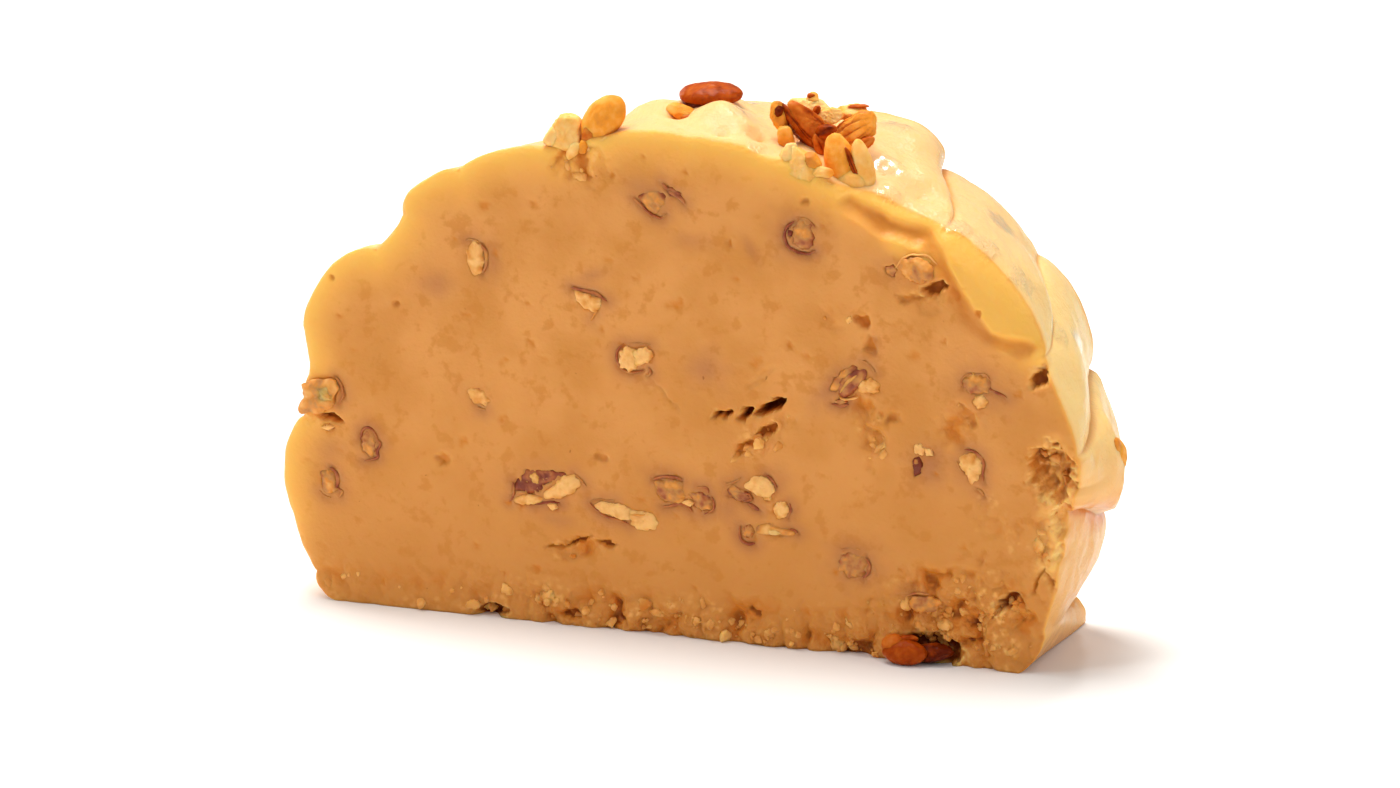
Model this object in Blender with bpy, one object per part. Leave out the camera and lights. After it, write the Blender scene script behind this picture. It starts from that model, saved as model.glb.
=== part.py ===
"""A thick slice cut across a loaf of pecan fudge.

The loaf was paddled and folded by hand on a slab, so its skin is a row of soft folds that run
from the front cut face to the back one. Broken pecans lie in the paste, where the knife cut
through them, and on top of the loaf, where they were pressed in.

Sizes are in millimetres in the tables and become metres in the meshes. +X runs across the cut
face, +Y from the front cut face to the back one, +Z up.
"""

import math

import bmesh
import bpy
import numpy as np
from mathutils import Euler, Vector, noise
from mathutils.geometry import delaunay_2d_cdt

MM = 0.001

# Driving dimensions of the slice
THICKNESS = 30.0
FRONT_Y = -THICKNESS / 2
MID_BULGE = 1.0
FLOOR_CLEARANCE = 0.05

# Mesh density of the solid
SKIN_STEP = 2.6
SKIN_ROWS = 11
FACE_STEP = 2.7
BACK_STEP = 3.6
FEATURE_STEP = 1.5
GROOVE_STEP = 2.2
GRID_SEED = 4

# Gap between a pecan and the paste around it
POCKET_GAP = 0.35

# Each fold of the skin starts at a crease, given at the front and at the back cut face, and
# swells by its crown over the chord to the next crease. A low bluntness makes a round fold
# with sharp creases. A skew under 1 moves the crest towards the fold's start.
# name: front crease x z, back crease x z, crown front middle back, bluntness, skew
FOLDS = {
    "foot_flap": ((55.0, 0.0), (57.0, 0.0), (0.9, 0.8, 1.1), 0.7, 1.0),
    "tucked_side": ((58.8, 6.6), (54.6, 4.8), (1.4, 1.5, 1.7), 0.75, 1.3),
    "torn_edge": ((60.4, 17.5), (58.9, 14.6), (0.5, 0.3, 0.2), 1.0, 1.0),
    "nut_lump": ((60.9, 25.2), (59.6, 19.0), (1.4, 5.7, 3.9), 0.5, 0.75),
    "side_fold": ((63.3, 34.5), (56.7, 41.0), (0.8, 2.2, 3.4), 0.75, 1.0),
    "shoulder": ((57.5, 49.0), (48.8, 58.7), (3.0, 2.6, 1.9), 0.8, 1.0),
    "ribbon": ((41.5, 67.0), (32.8, 70.6), (0.2, 3.2, 4.9), 0.5, 0.75),
    "crown": ((16.0, 76.5), (14.0, 77.0), (1.4, 2.1, 2.2), 0.9, 1.0),
    "nut_seat": ((-10.0, 79.0), (-14.0, 77.0), (0.2, 0.3, 0.3), 1.0, 1.0),
    "left_crown": ((-20.0, 75.6), (-21.0, 73.3), (1.7, 1.0, 0.6), 0.8, 1.2),
    "left_shoulder": ((-36.0, 71.0), (-36.0, 66.5), (2.3, 1.6, 1.2), 0.6, 1.2),
    "left_hollow": ((-45.2, 63.2), (-45.5, 59.0), (-0.3, 0.0, 0.2), 1.0, 1.0),
    "left_bulge": ((-50.0, 57.0), (-51.0, 53.0), (3.7, 3.1, 2.6), 0.65, 0.9),
    "left_flat": ((-62.5, 43.5), (-60.8, 40.5), (-0.3, 0.4, 0.8), 1.0, 1.0),
    "left_notch": ((-62.4, 36.5), (-61.2, 33.0), (0.4, 0.7, 0.9), 0.8, 1.0),
    "left_belly": ((-63.0, 29.8), (-61.8, 27.5), (4.3, 3.6, 3.0), 0.8, 0.85),
    "left_foot": ((-61.0, 4.5), (-60.0, 4.0), (1.7, 1.2, 0.8), 0.8, 1.0),
}
LAST_CREASE = ((-56.0, 0.0), (-55.0, 0.0))

# Torn pits in the front cut face
# name: centre x z, half width along and across, tilt in degrees, depth
PITS = {
    "edge_pit": ((60.2, 32.2), (3.7, 4.3), 20.0, 4.6),
    "edge_hole": ((56.6, 45.8), (2.6, 1.4), 80.0, 4.0),
    "slit_right": ((15.0, 37.9), (2.6, 0.9), 28.0, 4.5),
    "slit_mid": ((11.0, 36.7), (1.5, 0.8), 38.0, 3.2),
    "slit_left": ((7.5, 36.3), (1.4, 0.7), 12.0, 2.4),
    "furrow": ((12.8, 32.6), (4.4, 1.2), 38.0, 1.8),
    "hollow": ((39.8, 57.9), (3.6, 1.1), 12.0, 1.6),
    "pinch_upper": ((29.9, 52.7), (1.6, 1.1), -20.0, 1.6),
    "pinch_lower": ((31.3, 49.0), (1.2, 1.9), 10.0, 1.4),
    "crack": ((-16.2, 13.3), (4.6, 0.7), 14.0, 1.6),
    "foot_gap": ((-31.0, 0.8), (2.8, 1.3), 8.0, 3.0),
    "crag_gap": ((52.8, 10.9), (2.2, 1.0), 45.0, 2.2),
}

BACK_PITS = {
    "slit_long": ((-14.0, 44.0), (3.4, 0.9), -24.0, 3.6),
    "slit_short": ((-19.5, 47.5), (1.6, 0.8), -35.0, 2.6),
    "hole": ((24.0, 22.0), (1.9, 1.3), 60.0, 2.8),
    "edge_bite": ((-55.5, 22.0), (3.0, 3.4), 10.0, 3.2),
}

# The knife dragged the paste at the top right: the cut face's edge rolls back there, and a torn
# groove runs along the inside of that rounded shoulder
SHOULDER_GROOVE = (
    (27.0, 70.5), (33.0, 67.2), (39.5, 65.8), (43.5, 59.8), (46.0, 55.5), (49.5, 51.8), (55.0, 50.0),
)
GROOVE_WIDTH = 1.3
GROOVE_DEPTH = 1.3
SHOULDER_FROM = (22.0, 46.0)
ROLL_REACH = 5.0
ROLL_DEPTH = 2.6

# Crumbly paste along the foot of the cut faces and in the lower right corner
CRUMB_HEIGHT = 8.0
CRUMB_DEPTH = 1.3
CRAG_CENTRE = (46.0, 7.5)
CRAG_RADII = (16.0, 8.5)
CRAG_DEPTH = 2.0

# Pecan pieces cut through by the knife, in the front face
# name: centre x z, half length and half height, tilt in degrees, how far it stands proud
FACE_PECANS = {
    "pecan_face_01": ((-3.5, 69.0), (4.0, 3.1), -28.0, 0.0),
    "pecan_face_02": ((20.0, 65.0), (3.1, 2.7), 70.0, 0.1),
    "pecan_face_03": ((-32.8, 57.6), (2.7, 1.6), 78.0, 0.2),
    "pecan_face_04": ((-14.0, 52.3), (3.1, 1.6), -24.0, 0.2),
    "pecan_face_05": ((-6.4, 43.8), (2.9, 2.0), 8.0, 0.9),
    "pecan_face_06": ((-32.8, 35.3), (2.2, 1.5), -30.0, 0.1),
    "pecan_face_07": ((-51.5, 26.2), (2.9, 1.6), 102.0, 0.1),
    "pecan_face_08": ((-58.0, 19.6), (2.7, 1.7), 112.0, 0.1),
    "pecan_face_09": ((-59.6, 33.6), (4.3, 2.9), 42.0, 0.9),
    "pecan_face_10": ((-21.2, 22.0), (6.2, 2.5), 20.0, 0.3),
    "pecan_face_11": ((-8.6, 18.7), (5.8, 1.8), -12.0, 0.4),
    "pecan_face_12": ((1.4, 23.0), (4.9, 2.4), -16.0, 0.4),
    "pecan_face_13": ((12.4, 24.6), (4.3, 2.5), -12.0, 0.6),
    "pecan_face_14": ((14.6, 18.7), (4.7, 1.6), 5.0, 0.3),
    "pecan_face_15": ((28.9, 42.8), (4.3, 2.3), 42.0, 0.5),
    "pecan_face_16": ((38.9, 32.0), (3.0, 1.7), 84.0, 0.1),
    "pecan_face_17": ((47.3, 31.4), (3.0, 2.0), 98.0, 0.3),
    "pecan_face_18": ((48.6, 43.6), (4.2, 3.0), -35.0, 0.2),
    "pecan_face_19": ((38.0, 61.4), (3.3, 2.2), -20.0, 1.1),
    "pecan_face_20": ((28.5, 14.6), (3.0, 2.3), -10.0, 0.1),
    "pecan_face_21": ((39.6, 9.0), (3.1, 1.5), 4.0, 0.4),
}
CUT_SIDES = 12
# Share of the piece's outline, and depth behind its cut surface, layer by layer
CUT_LAYERS = ((0, 0.0), (0.9, 0.0), (1.0, 0.4), (0.98, 1.5), (0.66, 2.8), (0, 3.3))
POCKET_LAYERS = ((0, -3.0), (1.0, -3.0), (1.0, 1.9), (0.74, 3.2), (0, 3.8))

# Pecan pieces in the back face follow the turn of a sunflower's seeds
BACK_PECANS = 11
BACK_SPIRAL_CENTRE = (-1.0, 36.0)
BACK_SPIRAL_RADII = (50.0, 31.0)
GOLDEN_ANGLE = math.radians(137.5)

# Pecan pieces pressed into the skin
# name: centre, half sizes, turn about X Y Z in degrees, broken faces as directions, seed
LOOSE_PECANS = {
    "pecan_cap": ((-0.3, 0.5, 82.2), (4.9, 3.4, 1.8), (8, -3, 6), (), 3),
    "pecan_under_cap": ((-3.4, -3.8, 79.9), (2.2, 1.7, 1.6), (0, 15, 20), ((0, -1, 1),), 5),
    "pecan_left_chunk": (
        (-19.5, -12.4, 77.0), (4.0, 2.9, 3.9), (0, 25, 10),
        ((-1, -0.4, 0.6), (0.3, -0.2, 1), (-0.6, -0.8, -0.7)), 7,
    ),
    "pecan_left_oval": ((-12.6, -11.8, 80.3), (4.3, 2.6, 2.7), (10, -48, -10), (), 9),
    "pecan_dark_plate": (
        (17.4, -6.0, 79.6), (5.8, 1.8, 2.6), (25, 47, 8),
        ((0.2, -1, 0.5), (0.9, -0.3, 0.6)), 11,
    ),
    "pecan_back_chunk": (
        (16.4, -0.2, 80.6), (5.4, 3.4, 3.2), (0, 8, -12),
        ((-0.4, -0.4, 1), (0.5, 0.1, 1), (-1, -0.5, 0.1)), 13,
    ),
    "pecan_ridged": ((24.6, -2.4, 79.2), (4.7, 3.1, 2.5), (-20, -24, 14), (), 15),
    "pecan_lobe": ((25.9, -9.4, 75.2), (4.8, 3.3, 3.2), (-30, 72, 10), (), 17),
    "pecan_star_chunk": (
        (19.9, -13.2, 75.1), (4.9, 2.6, 3.9), (0, 20, 5),
        ((-0.5, -1, 0.9), (0.7, -0.9, 0.5), (-0.2, -0.6, -1)), 19,
    ),
    "pecan_foot": ((39.2, -15.6, 2.75), (4.5, 3.2, 2.6), (0, 4, 8), (), 21),
    "pecan_side": ((64.1, 3.0, 29.8), (4.0, 2.8, 2.6), (0, 68, 20), (), 23),
    "pecan_left_side": ((-61.6, 5.0, 45.5), (4.3, 3.0, 2.2), (15, 70, 20), (), 25),
    "pecan_left_belly": ((-64.2, -1.0, 16.5), (3.9, 2.9, 2.2), (-20, 80, 0), (), 27),
    "pecan_left_top": ((-46.0, 9.0, 60.6), (4.0, 3.0, 2.4), (10, -40, 50), ((-0.5, 0.4, 1),), 29),
}
BIG_PECAN = 4.35

PASTE = {"colour": (0.80, 0.50, 0.22), "roughness": 0.42}
PECAN_SKIN = {"colour": (0.42, 0.17, 0.06), "roughness": 0.35}
PECAN_MEAT = {"colour": (0.78, 0.55, 0.30), "roughness": 0.55}


def clear_scene():
    for obj in list(bpy.data.objects):
        bpy.data.objects.remove(obj)


def material(name, look):
    mat = bpy.data.materials.new(name)
    mat.use_nodes = True
    shader = mat.node_tree.nodes["Principled BSDF"]
    shader.inputs["Base Color"].default_value = (*look["colour"], 1.0)
    shader.inputs["Roughness"].default_value = look["roughness"]
    shader.inputs["Metallic"].default_value = 0.0
    return mat


def add_object(name, points, faces, mat):
    """A mesh object from points in millimetres."""
    mesh = bpy.data.meshes.new(name)
    mesh.from_pydata([tuple(p * MM) for p in np.asarray(points, float)], [], faces)
    mesh.materials.append(mat)
    mesh.shade_smooth()
    mesh.set_sharp_from_angle(angle=math.radians(40))
    obj = bpy.data.objects.new(name, mesh)
    bpy.context.scene.collection.objects.link(obj)
    return obj


# The skin

def fold_arc(start, end, crown, bluntness, skew, t):
    """Points of one fold's swelling profile, from its crease to the next one."""
    start, end = np.array(start), np.array(end)
    chord = end - start
    outward = np.array([chord[1], -chord[0]]) / np.linalg.norm(chord)
    swell = (4 * t**skew * (1 - t**skew)) ** bluntness
    return start + t[:, None] * chord + (crown * swell)[:, None] * outward


def skin_profile(depth, step):
    """The slice's outline over the top, from the right foot to the left one, at a depth from 0,
    the front face, to 1, the back face. The number of points is the same at every depth."""
    rows = list(FOLDS.values())
    creases = [row[0:2] for row in rows] + [LAST_CREASE]
    blend = 3 * depth**2 - 2 * depth**3
    profile = []
    for row, (front, back), (next_front, next_back) in zip(rows, creases, creases[1:]):
        start = np.array(front) * (1 - blend) + np.array(back) * blend
        end = np.array(next_front) * (1 - blend) + np.array(next_back) * blend
        crown = np.interp(depth, (0, 0.5, 1), row[2])
        count = max(3, round(math.dist(front, next_front) / step))
        even = np.arange(count) / count
        t = even * 0.6 + (1 - np.cos(even * math.pi)) / 2 * 0.4
        profile.append(fold_arc(start, end, crown, row[3], row[4], t))
    front, back = LAST_CREASE
    profile.append(np.array([front]) * (1 - blend) + np.array([back]) * blend)
    return np.concatenate(profile)


def bulged(profile, depth):
    """The skin stands a little prouder midway between the two cut faces."""
    middle = np.array([0.0, 30.0])
    out = profile - middle
    out /= np.linalg.norm(out, axis=1)[:, None]
    lift = np.clip(profile[:, 1] / 6, 0, 1) * np.clip(0.5 + profile[:, 0] / 80, 0.15, 1)
    lump = np.array([noise.noise(Vector((x / 9, depth * 2.4, z / 9))) for x, z in profile])
    swell = MID_BULGE * math.sin(math.pi * depth) * (1 + 1.1 * lump)
    return profile + out * (swell * lift)[:, None]


# The cut faces

def in_pit(x, z, centre, half, tilt):
    """0 outside a pit's ellipse, rising to 1 over its middle."""
    turn = math.radians(tilt)
    along = (x - centre[0]) * math.cos(turn) + (z - centre[1]) * math.sin(turn)
    across = (z - centre[1]) * math.cos(turn) - (x - centre[0]) * math.sin(turn)
    reach = np.sqrt((along / half[0]) ** 2 + (across / half[1]) ** 2)
    ragged = np.array([noise.noise(Vector((a / 2.1, 5.0, b / 2.1))) for a, b in zip(x, z)])
    return np.clip((1.25 - reach * (1 + 0.35 * ragged)) / 0.7, 0, 1)


def crumble(x, z, seed):
    """How deep the crumbly paste is broken away along the foot and in the lower right corner."""
    foot = np.clip(1 - z / CRUMB_HEIGHT, 0, 1) * CRUMB_DEPTH
    reach = np.hypot((x - CRAG_CENTRE[0]) / CRAG_RADII[0], (z - CRAG_CENTRE[1]) / CRAG_RADII[1])
    crag = np.clip(1.6 * (1 - reach), 0, 1) * CRAG_DEPTH
    bits = np.array(
        [noise.noise(Vector((a / 4.2 + seed, seed, b / 4.2))) for a, b in zip(x, z)]
    )
    return (foot + crag) * (0.35 + 1.1 * bits)


def distance_to_path(x, z, path):
    """Distance of each point from a line through the path's corners."""
    path = np.array(path)
    start, run = path[:-1], path[1:] - path[:-1]
    dx, dz = x[:, None] - start[:, 0], z[:, None] - start[:, 1]
    share = np.clip((dx * run[:, 0] + dz * run[:, 1]) / (run**2).sum(1), 0, 1)
    return np.hypot(dx - share * run[:, 0], dz - share * run[:, 1]).min(1)


def torn_shoulder(x, z):
    """The rounded shoulder along the top right edge, with the groove that bounds it."""
    edge = skin_profile(0, SKIN_STEP)
    edge = edge[(edge > SHOULDER_FROM).all(1)]
    roll = np.clip(1 - distance_to_path(x, z, edge) / ROLL_REACH, 0, 1) ** 2
    groove = np.exp(-((distance_to_path(x, z, SHOULDER_GROOVE) / GROOVE_WIDTH) ** 2))
    ends = np.clip((x - SHOULDER_FROM[0]) / 8, 0, 1) * np.clip((z - SHOULDER_FROM[1]) / 4, 0, 1)
    return ends * (ROLL_DEPTH * roll + GROOVE_DEPTH * groove)


def front_relief(x, z):
    """Depth of the front cut face behind its plane."""
    depth = crumble(x, z, 3.0) + torn_shoulder(x, z)
    for centre, half, tilt, deep in PITS.values():
        depth = np.maximum(depth, deep * in_pit(x, z, centre, half, tilt))
    return depth


def back_relief(x, z):
    """Depth of the back cut face, which was cut in the same way, behind its plane."""
    depth = crumble(-x * 0.9, z, 8.0)
    for centre, half, tilt, deep in BACK_PITS.values():
        depth = np.maximum(depth, deep * in_pit(x, z, centre, half, tilt))
    return depth


def feature_points(pits, grooves):
    """Extra points round each pit and along each groove, so that the coarse face keeps them."""
    points = [np.empty((0, 2))]
    for centre, half, tilt, _ in pits.values():
        turn = math.radians(tilt)
        axes = np.array([[math.cos(turn), math.sin(turn)], [-math.sin(turn), math.cos(turn)]])
        points.append(np.array([centre]))
        for ring in (0.55, 1.25):
            count = max(5, round(2 * math.pi * ring * sum(half) / 2 / FEATURE_STEP))
            turns = np.arange(count) / count * 2 * math.pi
            rim = np.stack([np.cos(turns) * half[0], np.sin(turns) * half[1]], 1) * ring
            points.append(rim @ axes + np.array(centre))
    for path in grooves:
        for start, end in zip(np.array(path), np.array(path)[1:]):
            along = (end - start) / np.linalg.norm(end - start)
            across = np.array([-along[1], along[0]]) * GROOVE_WIDTH * 1.4
            run = np.arange(0, np.linalg.norm(end - start), GROOVE_STEP)[:, None] * along
            points += [start + run + across * share for share in (0, -1, 1)]
    return np.concatenate(points)


def inside(points, loop, margin):
    """Which points lie inside a closed loop and at least a margin from its corners."""
    x, z = points[:, 0:1], points[:, 1:2]
    x0, z0 = loop[:, 0], loop[:, 1]
    x1, z1 = np.roll(x0, -1), np.roll(z0, -1)
    rise = np.where(z1 == z0, 1e-9, z1 - z0)
    crossing = ((z0 > z) != (z1 > z)) & (x < (x1 - x0) * (z - z0) / rise + x0)
    run = np.stack([x1 - x0, z1 - z0], 1)
    share = ((x - x0) * run[:, 0] + (z - z0) * run[:, 1]) / (run**2).sum(1)
    share = np.clip(share, 0, 1)
    gap = np.hypot(x - x0 - share * run[:, 0], z - z0 - share * run[:, 1]).min(1)
    return (crossing.sum(1) % 2 == 1) & (gap > margin)


def thinned(points, least):
    """Points no closer together than the least distance. Earlier ones are kept."""
    kept = []
    for p in points:
        if all(math.dist(p, q) > least for q in kept):
            kept.append(p)
    return np.array(kept)


def face_mesh(loop, step, extra):
    """Triangles that fill a closed loop: its own points first, then those inside."""
    rows = np.arange(0.5 * step, 90, step * 0.866)
    grid = np.array(
        [(x + (i % 2) * step / 2, z) for i, z in enumerate(rows) for x in np.arange(-70, 70, step)]
    )
    grid += np.random.default_rng(GRID_SEED).uniform(-0.22, 0.22, grid.shape) * step
    extra = thinned(extra, FEATURE_STEP * 0.55) if len(extra) else np.empty((0, 2))
    extra = extra[inside(extra, loop, FEATURE_STEP * 0.45)] if len(extra) else extra
    grid = grid[inside(grid, loop, step * 0.45)]
    if len(extra):
        apart = np.linalg.norm(grid[:, None] - extra[None], axis=2).min(1)
        grid = grid[apart > step * 0.5]
    flat = np.concatenate([loop, extra, grid])
    edges = [(i, (i + 1) % len(loop)) for i in range(len(loop))]
    points, _, triangles, *_ = delaunay_2d_cdt([Vector(p) for p in flat], edges, [], 1, 1e-6)
    return np.array([tuple(p) for p in points]), triangles


def foot_row(start, end, step):
    """Points along a cut face's foot, without its two ends."""
    count = round(math.dist(start, end) / step)
    share = np.arange(1, count)[:, None] / count
    return np.array(start) * (1 - share) + np.array(end) * share


def slice_mesh():
    """The slice's closed surface: skin, two cut faces and a flat base."""
    depths = np.linspace(0, 1, SKIN_ROWS + 1)
    rows = [bulged(skin_profile(d, SKIN_STEP), d) for d in depths]
    width = len(rows[0])
    front_edge = FRONT_Y + front_relief(*rows[0].T)
    back_edge = FRONT_Y + THICKNESS - back_relief(*rows[-1].T)
    points = []
    for row, d in zip(rows, depths):
        points.append(np.stack([row[:, 0], front_edge * (1 - d) + back_edge * d, row[:, 1]], 1))
    faces = []
    for j in range(SKIN_ROWS):
        for i in range(width - 1):
            a, b = j * width + i, j * width + i + 1
            c, d = b + width, a + width
            faces += [(a, d, b), (b, d, c)] if (i + j) % 2 else [(a, d, c), (a, c, b)]
    vertices = np.concatenate(points)
    sides = (
        (0, 1, FACE_STEP, front_relief, feature_points(PITS, [SHOULDER_GROOVE])),
        (SKIN_ROWS, -1, BACK_STEP, back_relief, feature_points(BACK_PITS, [])),
    )
    feet = []
    for row, sign, step, relief, extra in sides:
        outline = rows[row]
        foot = foot_row(outline[-1], outline[0], step)
        flat, triangles = face_mesh(np.concatenate([outline, foot]), step, extra)
        deep = relief(flat[width:, 0], flat[width:, 1])
        y = FRONT_Y + THICKNESS * depths[row] + sign * deep
        inner = np.stack([flat[width:, 0], y, flat[width:, 1]], 1)
        index = [*range(row * width, (row + 1) * width)]
        index += range(len(vertices), len(vertices) + len(inner))
        vertices = np.concatenate([vertices, inner])
        for a, b, c in triangles:
            turn = np.cross(flat[b] - flat[a], flat[c] - flat[a]) * sign > 0
            faces.append(tuple(index[i] for i in ((a, b, c) if turn else (a, c, b))))
        feet.append([index[width - 1], *index[width : width + len(foot)], index[0]])
    front, back = feet
    left = [j * width + width - 1 for j in range(1, SKIN_ROWS)]
    right = [j * width for j in range(SKIN_ROWS - 1, 0, -1)]
    rim = [*front[::-1], *left, *back, *right]
    vertices[rim, 2] = 0.0
    flat = vertices[rim][:, :2]
    edges = [(i, (i + 1) % len(rim)) for i in range(len(rim))]
    _, _, triangles, *_ = delaunay_2d_cdt([Vector(p) for p in flat], edges, [], 1, 1e-6)
    for a, b, c in triangles:
        down = np.cross(flat[b] - flat[a], flat[c] - flat[a]) < 0
        faces.append(tuple(rim[i] for i in ((a, b, c) if down else (a, c, b))))
    return vertices, faces


# Pecan pieces

def rings_mesh(rings):
    """Triangles over rings of equal length, with a single point at the first and last place."""
    points = np.concatenate(rings)
    sides = len(rings[1])
    turn = list(range(sides))
    faces = [(0, 1 + i, 1 + (i + 1) % sides) for i in turn]
    for k in range(len(rings) - 3):
        low, high = 1 + k * sides, 1 + (k + 1) * sides
        for i in turn:
            j = (i + 1) % sides
            faces += [(low + i, high + i, high + j), (low + i, high + j, low + j)]
    last, low = len(points) - 1, len(points) - 1 - sides
    faces += [(last, low + (i + 1) % sides, low + i) for i in turn]
    return points, faces


def ball_directions(rings, sides):
    """Unit directions of a ball with its poles on X, ring by ring."""
    angles = np.arange(sides) / sides * 2 * math.pi
    out = [np.array([[1.0, 0.0, 0.0]])]
    for k in range(1, rings + 1):
        polar = math.pi * k / (rings + 1)
        flat = np.full(sides, math.cos(polar))
        around = math.sin(polar)
        out.append(np.stack([flat, around * np.cos(angles), around * np.sin(angles)], 1))
    out.append(np.array([[-1.0, 0.0, 0.0]]))
    return out


def pecan_reach(away, half, broken, seed, grow):
    """How far a pecan piece reaches in each of its own directions: a lobed oval whose skin has
    long furrows, with flat faces where it broke."""
    half = np.array(half) + grow
    reach = 1 / np.sqrt(((away / half) ** 2).sum(1))
    turn = np.arctan2(away[:, 2], away[:, 1])
    along = away[:, 0] * reach / half[0]
    slim = 1 - along**2
    groove = np.exp(-(((np.abs(turn) - math.pi / 2) / 0.5) ** 2)) * slim
    reach = reach * (1 - 0.18 * groove)
    lumps = np.array([noise.noise(Vector(d * 1.3) + Vector((seed, 0, 0))) for d in away])
    reach = reach * (1 + 0.12 * lumps)
    for normal, offset in broken:
        facing = away @ normal
        limit = (offset + grow) / np.maximum(facing, 1e-6)
        reach = np.where(facing > 0.02, np.minimum(reach, limit), reach)
    return reach


def broken_faces(directions_out, half, share=0.62):
    """Unit normals of a piece's broken faces, and how far each lies from its middle."""
    faces = []
    for out in directions_out:
        normal = np.array(out, float) / np.linalg.norm(out)
        faces.append((normal, share * float(np.linalg.norm(normal * np.array(half)))))
    return faces


def loose_piece(name, centre, half, turn, broken, seed, mat, grow=0.0):
    """One whole or broken pecan piece."""
    rings, sides = (8, 14) if max(half) > BIG_PECAN else (6, 12)
    rotation = np.array(Euler([math.radians(a) for a in turn]).to_matrix())
    planes = broken_faces(broken, half)
    shape = []
    for away in ball_directions(rings, sides):
        reach = pecan_reach(away, half, planes, seed, grow)
        shape.append((away * reach[:, None]) @ rotation.T + np.array(centre))
    points, faces = rings_mesh(shape)
    if grow == 0:
        points[:, 2] = np.maximum(points[:, 2], FLOOR_CLEARANCE)
    return add_object(name, points, faces, mat)


def cut_piece(name, centre, half, tilt, seed, side, layers, mat, grow=0.0):
    """A pecan piece cut flat by the knife: a lobed outline in the cut face, closed behind.
    Layers are shares of the outline and depths behind the face, from front to back."""
    angles = np.arange(CUT_SIDES) / CUT_SIDES * 2 * math.pi
    reach = 1 / np.hypot(np.cos(angles) / half[0], np.sin(angles) / half[1])
    reach *= 1 + 0.11 * np.cos(3 * angles + seed * 1.9) + 0.07 * np.cos(2 * angles + seed)
    turned = angles + math.radians(tilt)
    rings = []
    for share, deep in layers:
        size = reach * share + grow if share else np.zeros(1)
        around = turned[: len(size)]
        out = np.stack([size * np.cos(around), 0 * size - side * deep, size * np.sin(around)], 1)
        rings.append(out + np.array(centre))
    points, faces = rings_mesh(rings)
    if grow == 0:
        points[:, 2] = np.maximum(points[:, 2], FLOOR_CLEARANCE)
    if side > 0:
        faces = [face[::-1] for face in faces]
    return add_object(name, points, faces, mat)


def as_cutter(obj):
    obj.hide_render = True
    obj.display_type = "WIRE"
    return obj


def cut(obj, cutter):
    """Cuts one object by another, or by a collection of them."""
    modifier = obj.modifiers.new("cut_by_" + cutter.name, "BOOLEAN")
    modifier.operation = "DIFFERENCE"
    modifier.solver = "EXACT"
    if isinstance(cutter, bpy.types.Collection):
        modifier.operand_type = "COLLECTION"
        modifier.collection = cutter
    else:
        modifier.object = cutter


def back_pecan_rows():
    """Places and sizes of the pecan pieces in the back face."""
    for i in range(BACK_PECANS):
        out = math.sqrt((i + 0.6) / BACK_PECANS)
        angle = i * GOLDEN_ANGLE
        x = BACK_SPIRAL_CENTRE[0] + BACK_SPIRAL_RADII[0] * out * math.cos(angle)
        z = BACK_SPIRAL_CENTRE[1] + BACK_SPIRAL_RADII[1] * out * math.sin(angle)
        half = (2.6 + 1.7 * ((i * 0.37) % 1), 1.7 + 0.9 * ((i * 0.61) % 1))
        yield f"pecan_back_{i + 1:02d}", (x, z), half, (i * 67) % 180, 0.2


def cut_pecans(rows, side, relief, pockets, mats):
    """Pecan pieces that the knife cut through, each in its own pocket of the paste."""
    for seed, (name, (x, z), half, tilt, proud) in enumerate(rows):
        deep = float(relief(np.array([x]), np.array([z]))[0]) - proud
        centre = (x, side * (THICKNESS / 2 - deep), z)
        shape = dict(centre=centre, half=half, tilt=tilt, seed=seed, side=side)
        obj = cut_piece(name, layers=CUT_LAYERS, mat=mats["meat"], **shape)
        obj.data.materials.append(mats["skin"])
        pocket = cut_piece(
            name + ".pocket", layers=POCKET_LAYERS, mat=mats["paste"], grow=POCKET_GAP, **shape
        )
        pockets.objects.link(as_cutter(pocket))


def loose_pecans(pockets, mats):
    """Pecan pieces pressed into the skin. Where two touch, the later one gives way."""
    placed = []
    for name, (centre, half, turn, broken, seed) in LOOSE_PECANS.items():
        mat = mats["meat"] if broken else mats["skin"]
        shape = dict(centre=centre, half=half, turn=turn, broken=broken, seed=seed)
        obj = loose_piece(name, mat=mat, **shape)
        pocket = loose_piece(name + ".pocket", mat=mats["paste"], grow=POCKET_GAP, **shape)
        pockets.objects.link(as_cutter(pocket))
        for other_centre, other_half, other_pocket in placed:
            if math.dist(centre, other_centre) < max(half) + max(other_half):
                cut(obj, other_pocket)
        placed.append((centre, half, pocket))


def centre_on_floor(objects):
    """Moves the slice so that the origin is under the middle of its box."""
    bpy.context.view_layer.update()
    graph = bpy.context.evaluated_depsgraph_get()
    corners = []
    for obj in objects:
        if not obj.hide_render:
            corners += [tuple(v.co) for v in obj.evaluated_get(graph).data.vertices]
    low, high = np.min(corners, 0), np.max(corners, 0)
    shift = Vector((-(low[0] + high[0]) / 2, -(low[1] + high[1]) / 2, -low[2]))
    for obj in objects:
        obj.location = shift


def main():
    clear_scene()
    mats = {
        "paste": material("fudge_paste", PASTE),
        "skin": material("pecan_skin", PECAN_SKIN),
        "meat": material("pecan_meat", PECAN_MEAT),
    }
    pockets = bpy.data.collections.new("pockets")
    bpy.context.scene.collection.children.link(pockets)
    pockets.hide_render = True
    fudge = add_object("fudge", *slice_mesh(), mats["paste"])
    front = [(name, *row) for name, row in FACE_PECANS.items()]
    cut_pecans(front, -1, front_relief, pockets, mats)
    cut_pecans(back_pecan_rows(), 1, back_relief, pockets, mats)
    loose_pecans(pockets, mats)
    cut(fudge, pockets)
    centre_on_floor(list(bpy.data.objects))


main()
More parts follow.
